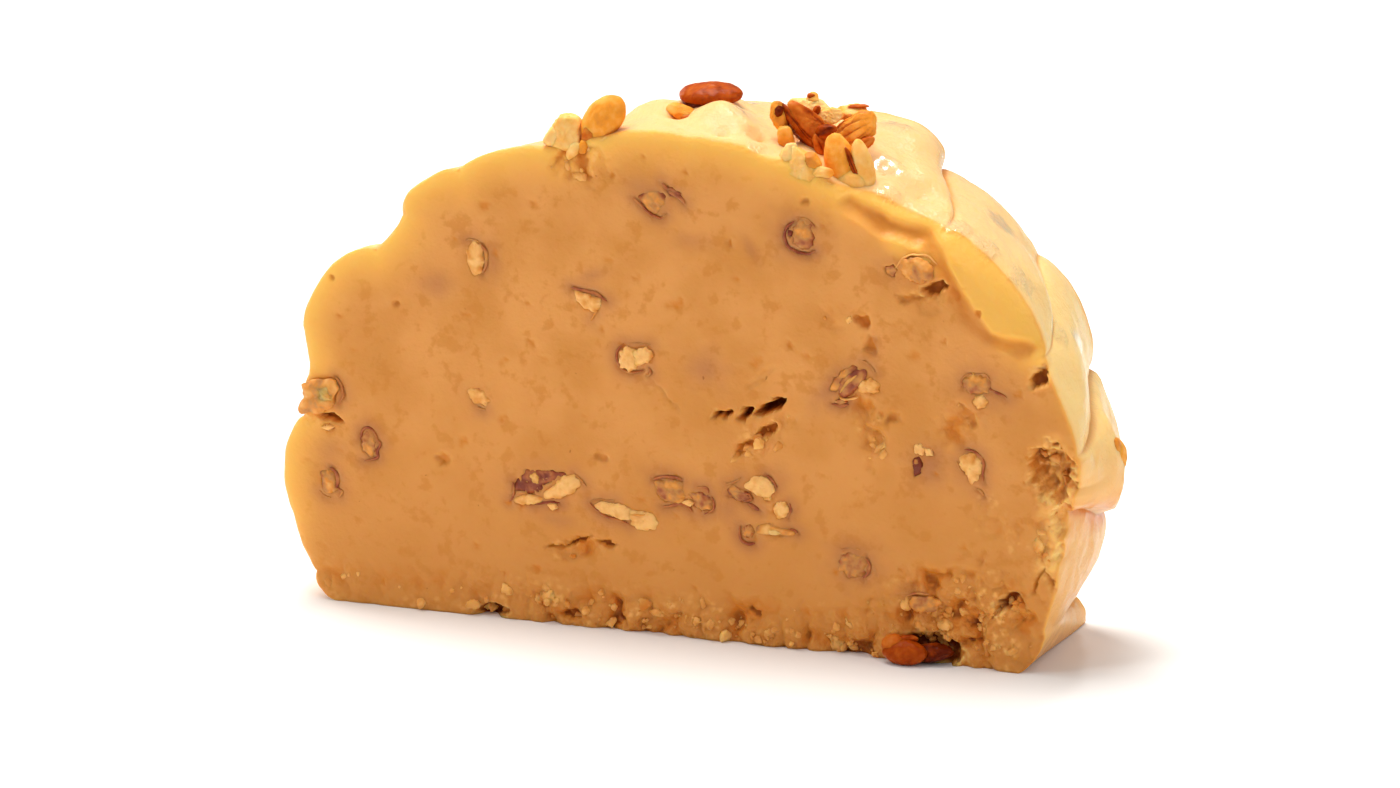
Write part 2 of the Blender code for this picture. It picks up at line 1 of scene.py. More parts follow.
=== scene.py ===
"""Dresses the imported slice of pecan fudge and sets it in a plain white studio.

The slice is a hand-folded loaf cut across: a waxy cut face with pecans sliced through, a
crumbled foot, a torn shoulder, and a soft, shining folded skin with pecans pressed into it.
Tables are in millimetres, with X and Z measured in the cut face from the middle of its foot and
Y from the middle of the slice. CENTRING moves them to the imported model's own origin.
"""

import itertools
import logging
import math
from dataclasses import dataclass, field, replace
from enum import Enum

import bmesh
import bpy
import numpy as np
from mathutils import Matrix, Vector
from mathutils.geometry import delaunay_2d_cdt


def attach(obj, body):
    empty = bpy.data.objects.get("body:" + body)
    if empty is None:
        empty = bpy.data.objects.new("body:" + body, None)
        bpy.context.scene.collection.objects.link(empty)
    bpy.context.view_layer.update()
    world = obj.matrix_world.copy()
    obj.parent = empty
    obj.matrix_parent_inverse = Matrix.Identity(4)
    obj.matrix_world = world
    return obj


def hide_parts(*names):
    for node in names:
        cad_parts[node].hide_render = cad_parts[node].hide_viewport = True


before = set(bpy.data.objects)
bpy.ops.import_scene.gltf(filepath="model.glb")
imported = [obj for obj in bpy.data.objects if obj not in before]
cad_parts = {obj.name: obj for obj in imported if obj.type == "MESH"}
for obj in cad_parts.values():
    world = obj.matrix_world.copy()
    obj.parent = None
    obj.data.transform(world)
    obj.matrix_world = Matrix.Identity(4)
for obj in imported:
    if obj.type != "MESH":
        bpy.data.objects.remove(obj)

log = logging.getLogger("pecan_fudge")

Array = np.ndarray
Triple = tuple[float, float, float]
Surface = tuple[Array, Array, Array]
Material, Object = bpy.types.Material, bpy.types.Object
MM = 0.001
CENTRING = np.array([-0.155, 1.789, 0.0])
THICKNESS = 30.0
FOOT_STEP = 0.7
AT_ONCE = 4000
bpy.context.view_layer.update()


# Small tools


def linear(hex_colour: str) -> tuple[float, float, float, float]:
    """Turns an sRGB hex colour into the linear colour that shaders take.

    Args:
        hex_colour: six hex digits after a hash.

    Returns:
        Red, green, blue and an alpha of one.
    """
    parts = [int(hex_colour[i : i + 2], 16) / 255 for i in (1, 3, 5)]
    parts = [p / 12.92 if p <= 0.04045 else ((p + 0.055) / 1.055) ** 2.4 for p in parts]
    return (*parts, 1.0)


def add_node(
    tree: bpy.types.NodeTree,
    kind: str,
    settings: dict[str, object] | None = None,
    inputs: dict[object, object] | None = None,
) -> bpy.types.Node:
    """Adds a shader node, with its settings and its inputs' values or links.

    Args:
        tree: the material's node tree.
        kind: the node's class name.
        settings: attributes of the node.
        inputs: for each input's name or number, a value or the socket that feeds it.

    Returns:
        The new node.
    """
    node = tree.nodes.new(kind)
    for name, value in (settings or {}).items():
        setattr(node, name, value)
    for name, value in (inputs or {}).items():
        if isinstance(value, bpy.types.NodeSocket):
            tree.links.new(value, node.inputs[name])
        else:
            node.inputs[name].default_value = value
    return node


MATH, NOISE = "ShaderNodeMath", "ShaderNodeTexNoise"
MULTIPLY, MULTIPLY_ADD = {"operation": "MULTIPLY"}, {"operation": "MULTIPLY_ADD"}
SUBTRACT = {"operation": "SUBTRACT"}


def mix_colour(
    tree: bpy.types.NodeTree, share: object, low: object, high: object, blend: str = "MIX"
) -> bpy.types.NodeSocket:
    """Mixes two colours, each a socket or a linear colour.

    Args:
        tree: the material's node tree.
        share: the share of the second one.
        low: the first colour.
        high: the second colour.
        blend: how they are blended.

    Returns:
        The mixed colour's socket.
    """
    settings = {"data_type": "RGBA", "blend_type": blend, "clamp_factor": True}
    node = add_node(tree, "ShaderNodeMix", settings, {0: share, 6: low, 7: high})
    return node.outputs[2]


def ramp_between(
    tree: bpy.types.NodeTree, value: object, low: float, high: float
) -> bpy.types.NodeSocket:
    """A smooth share of a socket's value.

    Args:
        tree: the material's node tree.
        value: the socket.
        low: where the share is 0.
        high: where it is 1.

    Returns:
        The share's socket.
    """
    settings = {"interpolation_type": "SMOOTHSTEP", "clamp": True}
    node = add_node(tree, "ShaderNodeMapRange", settings, {0: value, 1: low, 2: high})
    return node.outputs[0]


def smooth_share(value: Array, low: float, high: float) -> Array:
    """A smooth share from 0 where value is low to 1 where it is high."""
    t = np.clip((value - low) / (high - low), 0, 1)
    return t * t * (3 - 2 * t)


class Noise:
    """Repeatable lattice noise over arrays of points."""

    def __init__(self, seed: int) -> None:
        """Draws the lattice's own values.

        Args:
            seed: what they are drawn from.
        """
        rng = np.random.default_rng(seed)
        self.order = np.tile(rng.permutation(256), 3)
        slopes = rng.normal(size=(256, 3))
        self.slopes = slopes / np.linalg.norm(slopes, axis=1)[:, None]
        self.places = rng.random((256, 3))

    def _keys(self, cells: Array) -> Array:
        """A number from 0 to 255 for each lattice cell."""
        c = cells & 255
        return self.order[self.order[self.order[c[:, 0]] + c[:, 1]] + c[:, 2]]

    def smooth(self, points: Array, size: float | Triple) -> Array:
        """Rolling noise from about -1 to 1.

        Args:
            points: points in millimetres, one a row.
            size: the size of its swells, the same or for each axis.

        Returns:
            One value for each point.
        """
        p = np.asarray(points, float) / np.array(size)
        base = np.floor(p).astype(int)
        f = p - base
        fade = f * f * f * (f * (f * 6 - 15) + 10)
        total = np.zeros(len(p))
        for corner in itertools.product((0, 1), repeat=3):
            step = np.array(corner)
            dot = ((f - step) * self.slopes[self._keys(base + step)]).sum(1)
            total += dot * np.where(step, fade, 1 - fade).prod(1)
        return total * 1.6

    def layered(self, points: Array, size: float, layers: int = 3) -> Array:
        """Rolling noise with finer and weaker noise upon it.

        Args:
            points: points in millimetres, one a row.
            size: the size of its swells.
            layers: how many noises there are.

        Returns:
            One value for each point.
        """
        return sum(
            self.smooth(np.asarray(points) + 7.3 * k, size / 2**k) / 2**k for k in range(layers)
        )

    def cells(self, points: Array, size: float | Triple) -> tuple[Array, Array]:
        """Distances to the nearest and the second nearest of scattered points.

        Args:
            points: points in millimetres, one a row.
            size: the spacing of the scattered points, the same or for each axis.

        Returns:
            The two distances, in spacings.
        """
        p = np.asarray(points, float) / np.array(size)
        base = np.floor(p).astype(int)
        near = np.full(len(p), 9.0)
        second = np.full(len(p), 9.0)
        for corner in itertools.product((-1, 0, 1), repeat=3):
            cell = base + np.array(corner)
            gap = np.linalg.norm(p - cell - self.places[self._keys(cell)], axis=1)
            second = np.minimum(second, np.maximum(near, gap))
            near = np.minimum(near, gap)
        return near, second


GRAIN = Noise(11)
LUMPS = Noise(23)


def lifted(x: Array, z: Array, y: float = 0.0) -> Array:
    """Points of the cut face as rows of X, Y and Z."""
    return np.stack([x, np.full(len(x), y), z], 1)


def mesh_piece(
    name: str, points: Array, faces: Array, marks: dict[str, Array], material: Material
) -> Object:
    """Makes a smooth-shaded object from points in millimetres of the tables.

    Args:
        name: the object's name.
        points: its points, one a row.
        faces: its triangles, three point numbers a row.
        marks: for each mark that the material reads, a value for each point.
        material: its finish.

    Returns:
        The new object.
    """
    mesh = bpy.data.meshes.new(name)
    mesh.vertices.add(len(points))
    mesh.vertices.foreach_set("co", ((points + CENTRING) * MM).astype(np.float32).ravel())
    faces = np.asarray(faces, np.int32)
    mesh.loops.add(faces.size)
    mesh.loops.foreach_set("vertex_index", faces.ravel())
    mesh.polygons.add(len(faces))
    mesh.polygons.foreach_set("loop_start", np.arange(0, faces.size, 3, dtype=np.int32))
    mesh.update(calc_edges=True)
    mesh.validate()
    for mark, values in marks.items():
        layer = mesh.attributes.new(mark, "FLOAT", "POINT")
        layer.data.foreach_set("value", np.clip(values, 0, 1).astype(np.float32))
    mesh.materials.append(material)
    mesh.shade_smooth()
    piece = bpy.data.objects.new(name, mesh)
    bpy.context.scene.collection.objects.link(piece)
    return piece


# The paste's skin


@dataclass(frozen=True)
class Fold:
    """One fold of the skin, from its crease to the next fold's crease.

    front and back are the crease's X and Z at the two cut faces. crowns are the swell over the
    chord at the front, the middle and the back. A low bluntness makes a round fold with sharp
    creases, and a skew under 1 moves its crest towards the fold's own crease.
    """

    front: tuple[float, float]
    back: tuple[float, float]
    crowns: Triple
    bluntness: float
    skew: float


FOLDS = (
    Fold((55.0, 0.0), (57.0, 0.0), (0.9, 0.8, 1.1), 0.7, 1.0),
    Fold((58.8, 6.6), (54.6, 4.8), (1.0, 1.8, 2.2), 0.85, 1.25),
    Fold((60.9, 25.2), (59.6, 19.0), (1.4, 5.7, 3.9), 0.5, 0.75),
    Fold((63.3, 34.5), (56.7, 41.0), (0.8, 2.2, 3.4), 0.75, 1.0),
    Fold((57.5, 49.0), (48.8, 58.7), (3.0, 2.6, 1.9), 0.8, 1.0),
    Fold((41.5, 67.0), (32.8, 70.6), (0.2, 3.2, 4.9), 0.5, 0.75),
    Fold((16.0, 76.5), (14.0, 77.0), (1.4, 2.1, 2.2), 0.9, 1.0),
    Fold((-10.0, 79.0), (-14.0, 77.0), (0.2, 0.3, 0.3), 1.0, 1.0),
    Fold((-20.0, 75.6), (-21.0, 73.3), (1.7, 1.0, 0.6), 0.8, 1.2),
    Fold((-36.0, 71.0), (-36.0, 66.5), (2.3, 1.6, 1.2), 0.6, 1.2),
    Fold((-45.2, 63.2), (-45.5, 59.0), (-0.3, 0.0, 0.2), 1.0, 1.0),
    Fold((-50.0, 57.0), (-51.0, 53.0), (3.7, 3.1, 2.6), 0.65, 0.9),
    Fold((-62.5, 43.5), (-60.8, 40.5), (-0.3, 0.4, 0.8), 1.0, 1.0),
    Fold((-62.4, 36.5), (-61.2, 33.0), (0.4, 0.7, 0.9), 0.8, 1.0),
    Fold((-63.0, 29.8), (-61.8, 27.5), (4.3, 3.6, 3.0), 0.8, 0.85),
    Fold((-61.0, 4.5), (-60.0, 4.0), (1.7, 1.2, 0.8), 0.8, 1.0),
)
LAST_CREASE = ((-56.0, 0.0), (-55.0, 0.0))


@dataclass(frozen=True)
class Swell:
    """A soft rise, or a dent where its height is below zero, in the skin."""

    centre: Triple
    radius: float
    height: float


SWELLS = (
    Swell((3.6, -4.2, 80.0), 3.7, 2.6),
    Swell((8.0, -6.6, 79.2), 3.0, 1.1),
    Swell((-8.0, -1.0, 79.0), 4.6, 1.9),
    Swell((-0.5, 4.0, 80.0), 5.4, 2.0),
    Swell((-3.4, -4.9, 80.2), 1.8, -1.9),
    Swell((-1.5, -9.4, 79.5), 2.6, -0.5),
    Swell((5.8, -10.6, 79.0), 1.6, -0.8),
    Swell((11.0, -8.4, 79.0), 1.7, -1.2),
    Swell((12.0, 6.0, 79.0), 5.0, 0.9),
    Swell((14.0, -12.5, 77.0), 2.2, -0.7),
    Swell((31.6, -9.0, 73.2), 3.2, 0.9),
    Swell((31.0, 8.0, 76.0), 6.0, 0.8),
    Swell((36.5, -6.0, 70.5), 2.6, -0.8),
    Swell((47.0, 2.0, 66.5), 5.5, -0.6),
    Swell((55.0, -3.0, 58.0), 4.0, 0.6),
    Swell((61.5, -4.0, 46.0), 3.6, 0.5),
    Swell((63.5, 8.0, 35.5), 3.2, -0.7),
)


@dataclass(frozen=True)
class Wet:
    """A puckered patch of wet syrup on the skin."""

    centre: Triple
    radius: float


WET = (
    Wet((6.4, -5.0, 81.3), 1.7), Wet((12.0, -13.0, 77.6), 1.2), Wet((26.8, 8.0, 77.7), 2.6),
    Wet((29.9, -3.4, 74.4), 2.4), Wet((32.4, -10.2, 71.4), 2.0), Wet((43.0, -9.6, 67.0), 2.6),
    Wet((47.3, -9.5, 64.2), 2.8), Wet((45.1, 5.0, 65.0), 2.8), Wet((51.5, -8.0, 58.8), 3.0),
    Wet((56.9, -4.1, 51.1), 2.2), Wet((58.6, 2.0, 48.0), 2.2), Wet((-56.0, 2.0, 52.0), 3.0),
    Wet((-40.0, 4.0, 66.5), 3.0), Wet((-65.5, -3.0, 20.0), 3.0), Wet((2.0, 9.0, 79.8), 2.6),
    Wet((64.6, 3.0, 38.0), 1.8), Wet((-26.0, 8.0, 74.0), 2.4),
)


@dataclass
class Skin:
    """The folded skin, as a grid of points from the right foot over the top to the left one."""

    step: float = 0.56
    rows: int = 54
    mid_bulge: float = 1.0
    roll_size: float = 11.0
    roll_height: float = 0.45
    wrinkle_size: float = 2.4
    wrinkle_height: float = 0.07

    def profile(self, depth: float) -> Array:
        """The slice's outline over the top, right to left.

        Args:
            depth: from 0 at the front face to 1 at the back one.

        Returns:
            X and Z, a point a row.
        """
        creases = [(fold.front, fold.back) for fold in FOLDS] + [LAST_CREASE]
        blend = 3 * depth**2 - 2 * depth**3
        parts = []
        for fold, (front, back), (front_to, back_to) in zip(FOLDS, creases, creases[1:]):
            start = np.array(front) * (1 - blend) + np.array(back) * blend
            end = np.array(front_to) * (1 - blend) + np.array(back_to) * blend
            crown = np.interp(depth, (0, 0.5, 1), fold.crowns)
            count = max(4, round(math.dist(front, front_to) / self.step))
            even = np.arange(count) / count
            t = even * 0.6 + (1 - np.cos(even * math.pi)) / 2 * 0.4
            chord = end - start
            outward = np.array([chord[1], -chord[0]]) / np.linalg.norm(chord)
            swell = (4 * t**fold.skew * (1 - t**fold.skew)) ** fold.bluntness
            parts.append(start + t[:, None] * chord + (crown * swell)[:, None] * outward)
        front, back = LAST_CREASE
        parts.append(np.array([front]) * (1 - blend) + np.array([back]) * blend)
        return np.concatenate(parts)

    def bulged(self, outline: Array, depth: float) -> Array:
        """The outline, standing a little prouder midway between the cut faces.

        Args:
            outline: its points.
            depth: as for profile.

        Returns:
            The moved points.
        """
        out = outline - np.array([0.0, 30.0])
        out /= np.linalg.norm(out, axis=1)[:, None]
        lift = np.clip(outline[:, 1] / 6, 0, 1) * np.clip(0.5 + outline[:, 0] / 80, 0.15, 1)
        return outline + out * (self.mid_bulge * math.sin(math.pi * depth) * lift)[:, None]

    def grid(self, front_edge: "Relief", back_edge: "Relief") -> Array:
        """The skin's points, row by row from the front face to the back one.

        Args:
            front_edge: the front face's relief, which says where its edge is worn back.
            back_edge: the same for the back face.

        Returns:
            An array of rows, columns and X, Y, Z.
        """
        depths = np.linspace(0, 1, self.rows + 1)
        outlines = [self.bulged(self.profile(d), d) for d in depths]
        low = -THICKNESS / 2 + front_edge.edge(outlines[0])
        high = THICKNESS / 2 - back_edge.edge(outlines[-1])
        rows = []
        for outline, d in zip(outlines, depths):
            rows.append(np.stack([outline[:, 0], low * (1 - d) + high * d, outline[:, 1]], 1))
        points = np.stack(rows)
        run = np.gradient(points[:, :, [0, 2]], axis=1)
        normal = np.stack([run[:, :, 1], -run[:, :, 0]], 2)
        normal /= np.linalg.norm(normal, axis=2)[:, :, None] + 1e-9
        for _ in range(2):
            normal[:, 1:-1] = (normal[:, :-2] + 2 * normal[:, 1:-1] + normal[:, 2:]) / 4
        flat = points.reshape(-1, 3)
        rise = self.roll_height * LUMPS.smooth(flat, (self.roll_size, self.roll_size * 0.8, 9.0))
        rise += 0.18 * GRAIN.layered(flat, 5.0, 2)
        rise += self.wrinkle_height * GRAIN.layered(flat + 31, self.wrinkle_size, 2)
        for swell in SWELLS:
            gap = np.linalg.norm(flat - np.array(swell.centre), axis=1) / swell.radius
            rise += swell.height * np.exp(-(gap**2))
        rise *= np.clip(flat[:, 2] / 4, 0, 1)
        points[:, :, [0, 2]] += normal * rise.reshape(points.shape[:2])[:, :, None]
        points[:, :, 2] = np.maximum(points[:, :, 2], 0.0)
        points[:, [0, -1], 2] = 0.0
        return points

    def crease_shade(self, points: Array) -> Array:
        """How far the skin lies in a crease or under an overhang, where it gets painted shade.

        Args:
            points: the skin's grid.

        Returns:
            A share for each point.
        """
        run = np.gradient(points[:, :, [0, 2]], axis=1)
        out = np.stack([run[:, :, 1], -run[:, :, 0]], 2)
        out /= np.linalg.norm(out, axis=2)[:, :, None] + 1e-9
        found = 0.3 * smooth_share(-out[:, :, 1], 0.0, 0.7)
        columns = points.shape[1]
        for reach, deep, strength in ((2, 0.4, 0.3), (5, 1.3, 0.42), (9, 2.6, 0.42)):
            padded = np.pad(points, ((0, 0), (reach, reach), (0, 0)), mode="edge")
            around = (padded[:, :columns] + padded[:, 2 * reach :]) / 2 - points
            hollow = (around[:, :, [0, 2]] * out).sum(2)
            found = np.maximum(found, strength * smooth_share(hollow, 0.03 * reach, deep))
        return found

    def wet(self, points: Array) -> Array:
        """How wet and puckered the skin is.

        Args:
            points: the skin's grid.

        Returns:
            A share for each point.
        """
        flat = points.reshape(-1, 3)
        found = np.zeros(len(flat))
        ragged = 0.35 * LUMPS.layered(flat, 2.2, 2)
        for patch in WET:
            gap = np.linalg.norm(flat - np.array(patch.centre), axis=1) / patch.radius
            found = np.maximum(found, smooth_share(1.15 - gap + ragged, 0.0, 0.35))
        return found


# Relief of the cut faces


@dataclass(frozen=True)
class Pit:
    """A torn hollow in a cut face: centre, half sizes, tilt in degrees, depth in the paste."""

    x: float
    z: float
    along: float
    across: float
    tilt: float
    depth: float
    ragged: float = 0.35
    # The last two are painted shade: how dark the bottom is painted, and how much golden shade
    # fills the hollow
    dark: float = 0.0
    golden_and_hollow_shade: float = 0.5

    def reach(self, x: Array, z: Array) -> Array:
        """How far out each point is, with 1 on the hollow's own ellipse.

        Args:
            x: places across the face.
            z: heights.

        Returns:
            The reach of each point.
        """
        turn = math.radians(self.tilt)
        u = (x - self.x) * math.cos(turn) + (z - self.z) * math.sin(turn)
        v = (z - self.z) * math.cos(turn) - (x - self.x) * math.sin(turn)
        return np.hypot(u / self.along, v / self.across)

    def share(self, x: Array, z: Array) -> Array:
        """0 outside the hollow, rising steeply to 1 inside it.

        Args:
            x: places across the face.
            z: heights.

        Returns:
            A share for each point.
        """
        at = lifted(x, z, 5.0 + self.x)
        size = min(self.along, self.across)
        aside = self.ragged * (0.5 + 0.4 * size)
        torn_x = x + aside * GRAIN.layered(at, 1.7, 3)
        torn_z = z + aside * GRAIN.layered(at + 30, 1.7, 3)
        return smooth_share(1.3 - self.reach(torn_x, torn_z), 0.0, 0.7)


FRONT_PITS = (
    Pit(59.6, 31.6, 3.0, 4.2, 14.0, 4.4, 0.6, 0.1, 0.6),
    Pit(57.3, 33.8, 0.9, 1.8, 20.0, 4.0, 0.6, 0.45),
    Pit(56.9, 45.9, 1.7, 1.3, 70.0, 2.2, 0.8, 0.05, 0.8),
    Pit(61.2, 24.4, 1.5, 2.6, -10.0, 3.0, 0.8, 0.0, 0.12),
    Pit(61.4, 19.0, 0.9, 1.6, 15.0, 2.0, 0.8, 0.0, 0.12),
    Pit(15.0, 37.9, 2.7, 0.75, 28.0, 5.0, 0.5, 1.0),
    Pit(11.0, 36.7, 1.5, 0.6, 38.0, 3.6, 0.5, 0.9),
    Pit(7.5, 36.3, 1.5, 0.45, 12.0, 2.6, 0.5, 0.8),
    Pit(14.6, 34.2, 2.0, 0.9, 38.0, 2.2, 0.6, 0.35),
    Pit(10.8, 31.2, 2.4, 0.6, 42.0, 1.3, 0.8, 0.2),
    Pit(40.8, 58.3, 1.9, 1.0, 14.0, 2.2, 0.9, 0.5),
    Pit(37.4, 57.0, 2.4, 0.7, 6.0, 1.0, 0.9, 0.0, 0.4),
    Pit(29.9, 52.7, 1.4, 0.9, -20.0, 1.2, 0.6),
    Pit(31.3, 49.0, 1.0, 1.5, 10.0, 1.0, 0.6, 0.1),
    Pit(-16.6, 13.7, 3.0, 0.3, 24.0, 1.5, 0.9, 0.7),
    Pit(-11.8, 14.0, 1.9, 0.35, -14.0, 1.3, 0.9, 0.6),
    Pit(-20.4, 12.4, 1.7, 0.22, 10.0, 1.0, 0.9, 0.6),
    Pit(-31.0, 0.8, 2.8, 1.2, 8.0, 3.2, 0.4, 1.0),
    Pit(-18.0, 1.9, 1.7, 0.8, 0.0, 1.6, 0.6, 0.6),
    Pit(12.4, 5.2, 1.4, 0.7, -35.0, 1.6, 0.6, 0.5),
    Pit(52.8, 10.9, 2.4, 0.9, 45.0, 2.6, 0.6, 0.7),
    Pit(57.7, 14.8, 2.6, 0.35, 68.0, 1.1, 0.4, 0.4),
    Pit(60.0, 14.4, 2.7, 0.35, 120.0, 1.1, 0.4, 0.4),
    Pit(13.5, 42.5, 2.8, 0.7, 40.0, 0.4, 0.8),
    Pit(-58.2, 29.9, 2.2, 0.6, -10.0, 2.2, 0.6, 0.5),
    Pit(41.3, 2.3, 4.8, 2.3, -8.0, 3.4, 0.4, 0.9),
    Pit(-1.8, 38.6, 3.2, 0.25, -40.0, 0.4, 0.9),
    Pit(34.5, 38.0, 1.2, 0.8, 40.0, 0.9, 0.8),
    Pit(46.4, 39.6, 2.0, 0.8, -50.0, 0.9, 0.8),
    Pit(20.6, 70.4, 0.7, 0.5, 0.0, 0.7),
    Pit(8.6, 63.2, 0.3, 0.8, 10.0, 0.5, 0.5, 0.6),
    Pit(-46.6, 49.2, 0.7, 0.6, 0.0, 0.7, 0.5, 0.2),
    Pit(-39.0, 25.0, 1.3, 0.9, 0.0, 0.7, 0.6, 0.2),
    Pit(-12.6, 27.6, 1.1, 0.8, 0.0, 0.7, 0.6, 0.1),
)
BACK_PITS = (
    Pit(-14.0, 44.0, 3.4, 0.9, -24.0, 3.6, 0.4, 0.8),
    Pit(-19.5, 47.5, 1.6, 0.8, -35.0, 2.6, 0.4, 0.6),
    Pit(24.0, 22.0, 1.9, 1.3, 60.0, 2.8, 0.4, 0.2),
    Pit(-55.5, 22.0, 3.0, 3.4, 10.0, 3.2),
    Pit(33.0, 52.0, 2.2, 0.5, 15.0, 1.4),
    Pit(2.0, 28.0, 1.4, 1.0, 0.0, 1.0),
)

SHOULDER_GROOVE = (
    (27.0, 70.5), (33.0, 67.2), (39.5, 65.8), (43.5, 59.8), (46.0, 55.5), (49.5, 51.8),
    (55.0, 50.0),
)


@dataclass(frozen=True)
class RoughPatch:
    """A place where the paste crumbled instead of cutting clean."""

    x: float
    z: float
    along: float
    across: float
    tilt: float
    strength: float

    def share(self, x: Array, z: Array) -> Array:
        """How crumbled the paste is.

        Args:
            x: places across the face.
            z: heights.

        Returns:
            From 0 to the patch's strength.
        """
        reach = Pit(self.x, self.z, self.along, self.across, self.tilt, 0.0).reach(x, z)
        torn = 0.3 * LUMPS.layered(lifted(x, z, 9.0), 3.0, 2)
        return self.strength * smooth_share(1.25 - reach * (1 + torn), 0.0, 0.7)


FRONT_ROUGH = (
    RoughPatch(46.0, 7.5, 14.0, 8.6, 0.0, 1.0),
    RoughPatch(31.0, 36.0, 2.4, 5.6, 15.0, 0.75),
    RoughPatch(-15.5, 74.0, 6.0, 3.6, -10.0, 0.7),
    RoughPatch(59.6, 21.0, 2.8, 7.5, 0.0, 0.8),
    RoughPatch(60.0, 31.0, 4.2, 6.2, 10.0, 0.65),
    RoughPatch(54.0, 21.5, 2.6, 4.0, 20.0, 0.4),
    RoughPatch(50.5, 24.5, 3.6, 4.5, 20.0, 0.35),
    RoughPatch(-17.0, 12.6, 6.0, 1.8, 8.0, 0.55),
    RoughPatch(45.0, 38.0, 3.4, 3.6, 30.0, 0.5),
    RoughPatch(13.5, 33.0, 6.0, 2.4, 38.0, 0.6),
    RoughPatch(-4.5, 40.0, 1.6, 4.0, 25.0, 0.25),
    RoughPatch(40.5, 57.0, 5.0, 2.2, 8.0, 0.4),
    RoughPatch(-60.5, 31.0, 2.4, 3.0, 0.0, 0.5),
    RoughPatch(22.0, 75.0, 7.0, 2.5, -20.0, 0.35),
    RoughPatch(26.0, 53.0, 3.0, 2.2, 0.0, 0.2),
)
BACK_ROUGH = (
    RoughPatch(-42.0, 8.0, 13.0, 6.5, 0.0, 0.9),
    RoughPatch(-58.0, 22.0, 3.5, 5.0, 0.0, 0.5),
    RoughPatch(20.0, 60.0, 4.0, 2.5, 20.0, 0.35),
    RoughPatch(-14.0, 40.0, 5.0, 2.2, -24.0, 0.35),
)


@dataclass(frozen=True)
class Stain:
    """A soft stain where pecan skin shows through the paste."""

    x: float
    z: float
    along: float
    across: float
    tilt: float
    strength: float

    def share(self, x: Array, z: Array) -> Array:
        """How stained the paste is.

        Args:
            x: places across the face.
            z: heights.

        Returns:
            A share for each point.
        """
        reach = Pit(self.x, self.z, self.along, self.across, self.tilt, 0.0).reach(x, z)
        cloud = 1 + 0.3 * LUMPS.layered(lifted(x, z, 14.0), 2.4, 2)
        return self.strength * np.exp(-((reach * cloud) ** 2))


STAINS = (
    Stain(4.6, 43.2, 3.0, 2.6, 0.0, 0.5), Stain(-39.5, 52.8, 2.8, 2.2, 20.0, 0.45),
    Stain(-14.0, 56.2, 3.0, 1.0, 20.0, 0.45), Stain(-4.0, 69.5, 4.6, 2.6, -20.0, 0.5),
    Stain(19.5, 65.0, 4.0, 3.6, 0.0, 0.5), Stain(-30.6, 57.5, 1.8, 3.0, 0.0, 0.5),
    Stain(-32.3, 33.0, 1.8, 1.2, 0.0, 0.4), Stain(-58.0, 25.0, 2.4, 2.4, 0.0, 0.3),
    Stain(29.0, 14.8, 4.0, 3.4, 0.0, 0.6), Stain(40.6, 31.2, 2.8, 3.2, 0.0, 0.6),
    Stain(48.5, 43.8, 4.6, 3.2, -20.0, 0.5), Stain(25.5, 42.5, 4.2, 1.8, 50.0, 0.7),
    Stain(40.0, 9.3, 4.0, 1.8, 0.0, 0.5), Stain(-1.5, 26.0, 3.6, 1.4, 0.0, 0.4),
    Stain(8.5, 21.5, 2.0, 2.6, 0.0, 0.45), Stain(16.5, 26.5, 2.0, 2.2, 0.0, 0.4),
    Stain(12.0, 62.3, 1.0, 2.2, 30.0, 0.4), Stain(2.0, 63.0, 3.2, 1.4, 0.0, 0.3),
    Stain(-20.0, 17.0, 3.0, 1.2, 0.0, 0.35), Stain(31.6, 48.9, 1.0, 1.8, 10.0, 0.5),
    Stain(-24.0, 21.0, 5.0, 3.0, 0.0, 0.35), Stain(47.0, 31.0, 3.4, 3.6, 0.0, 0.35),
)


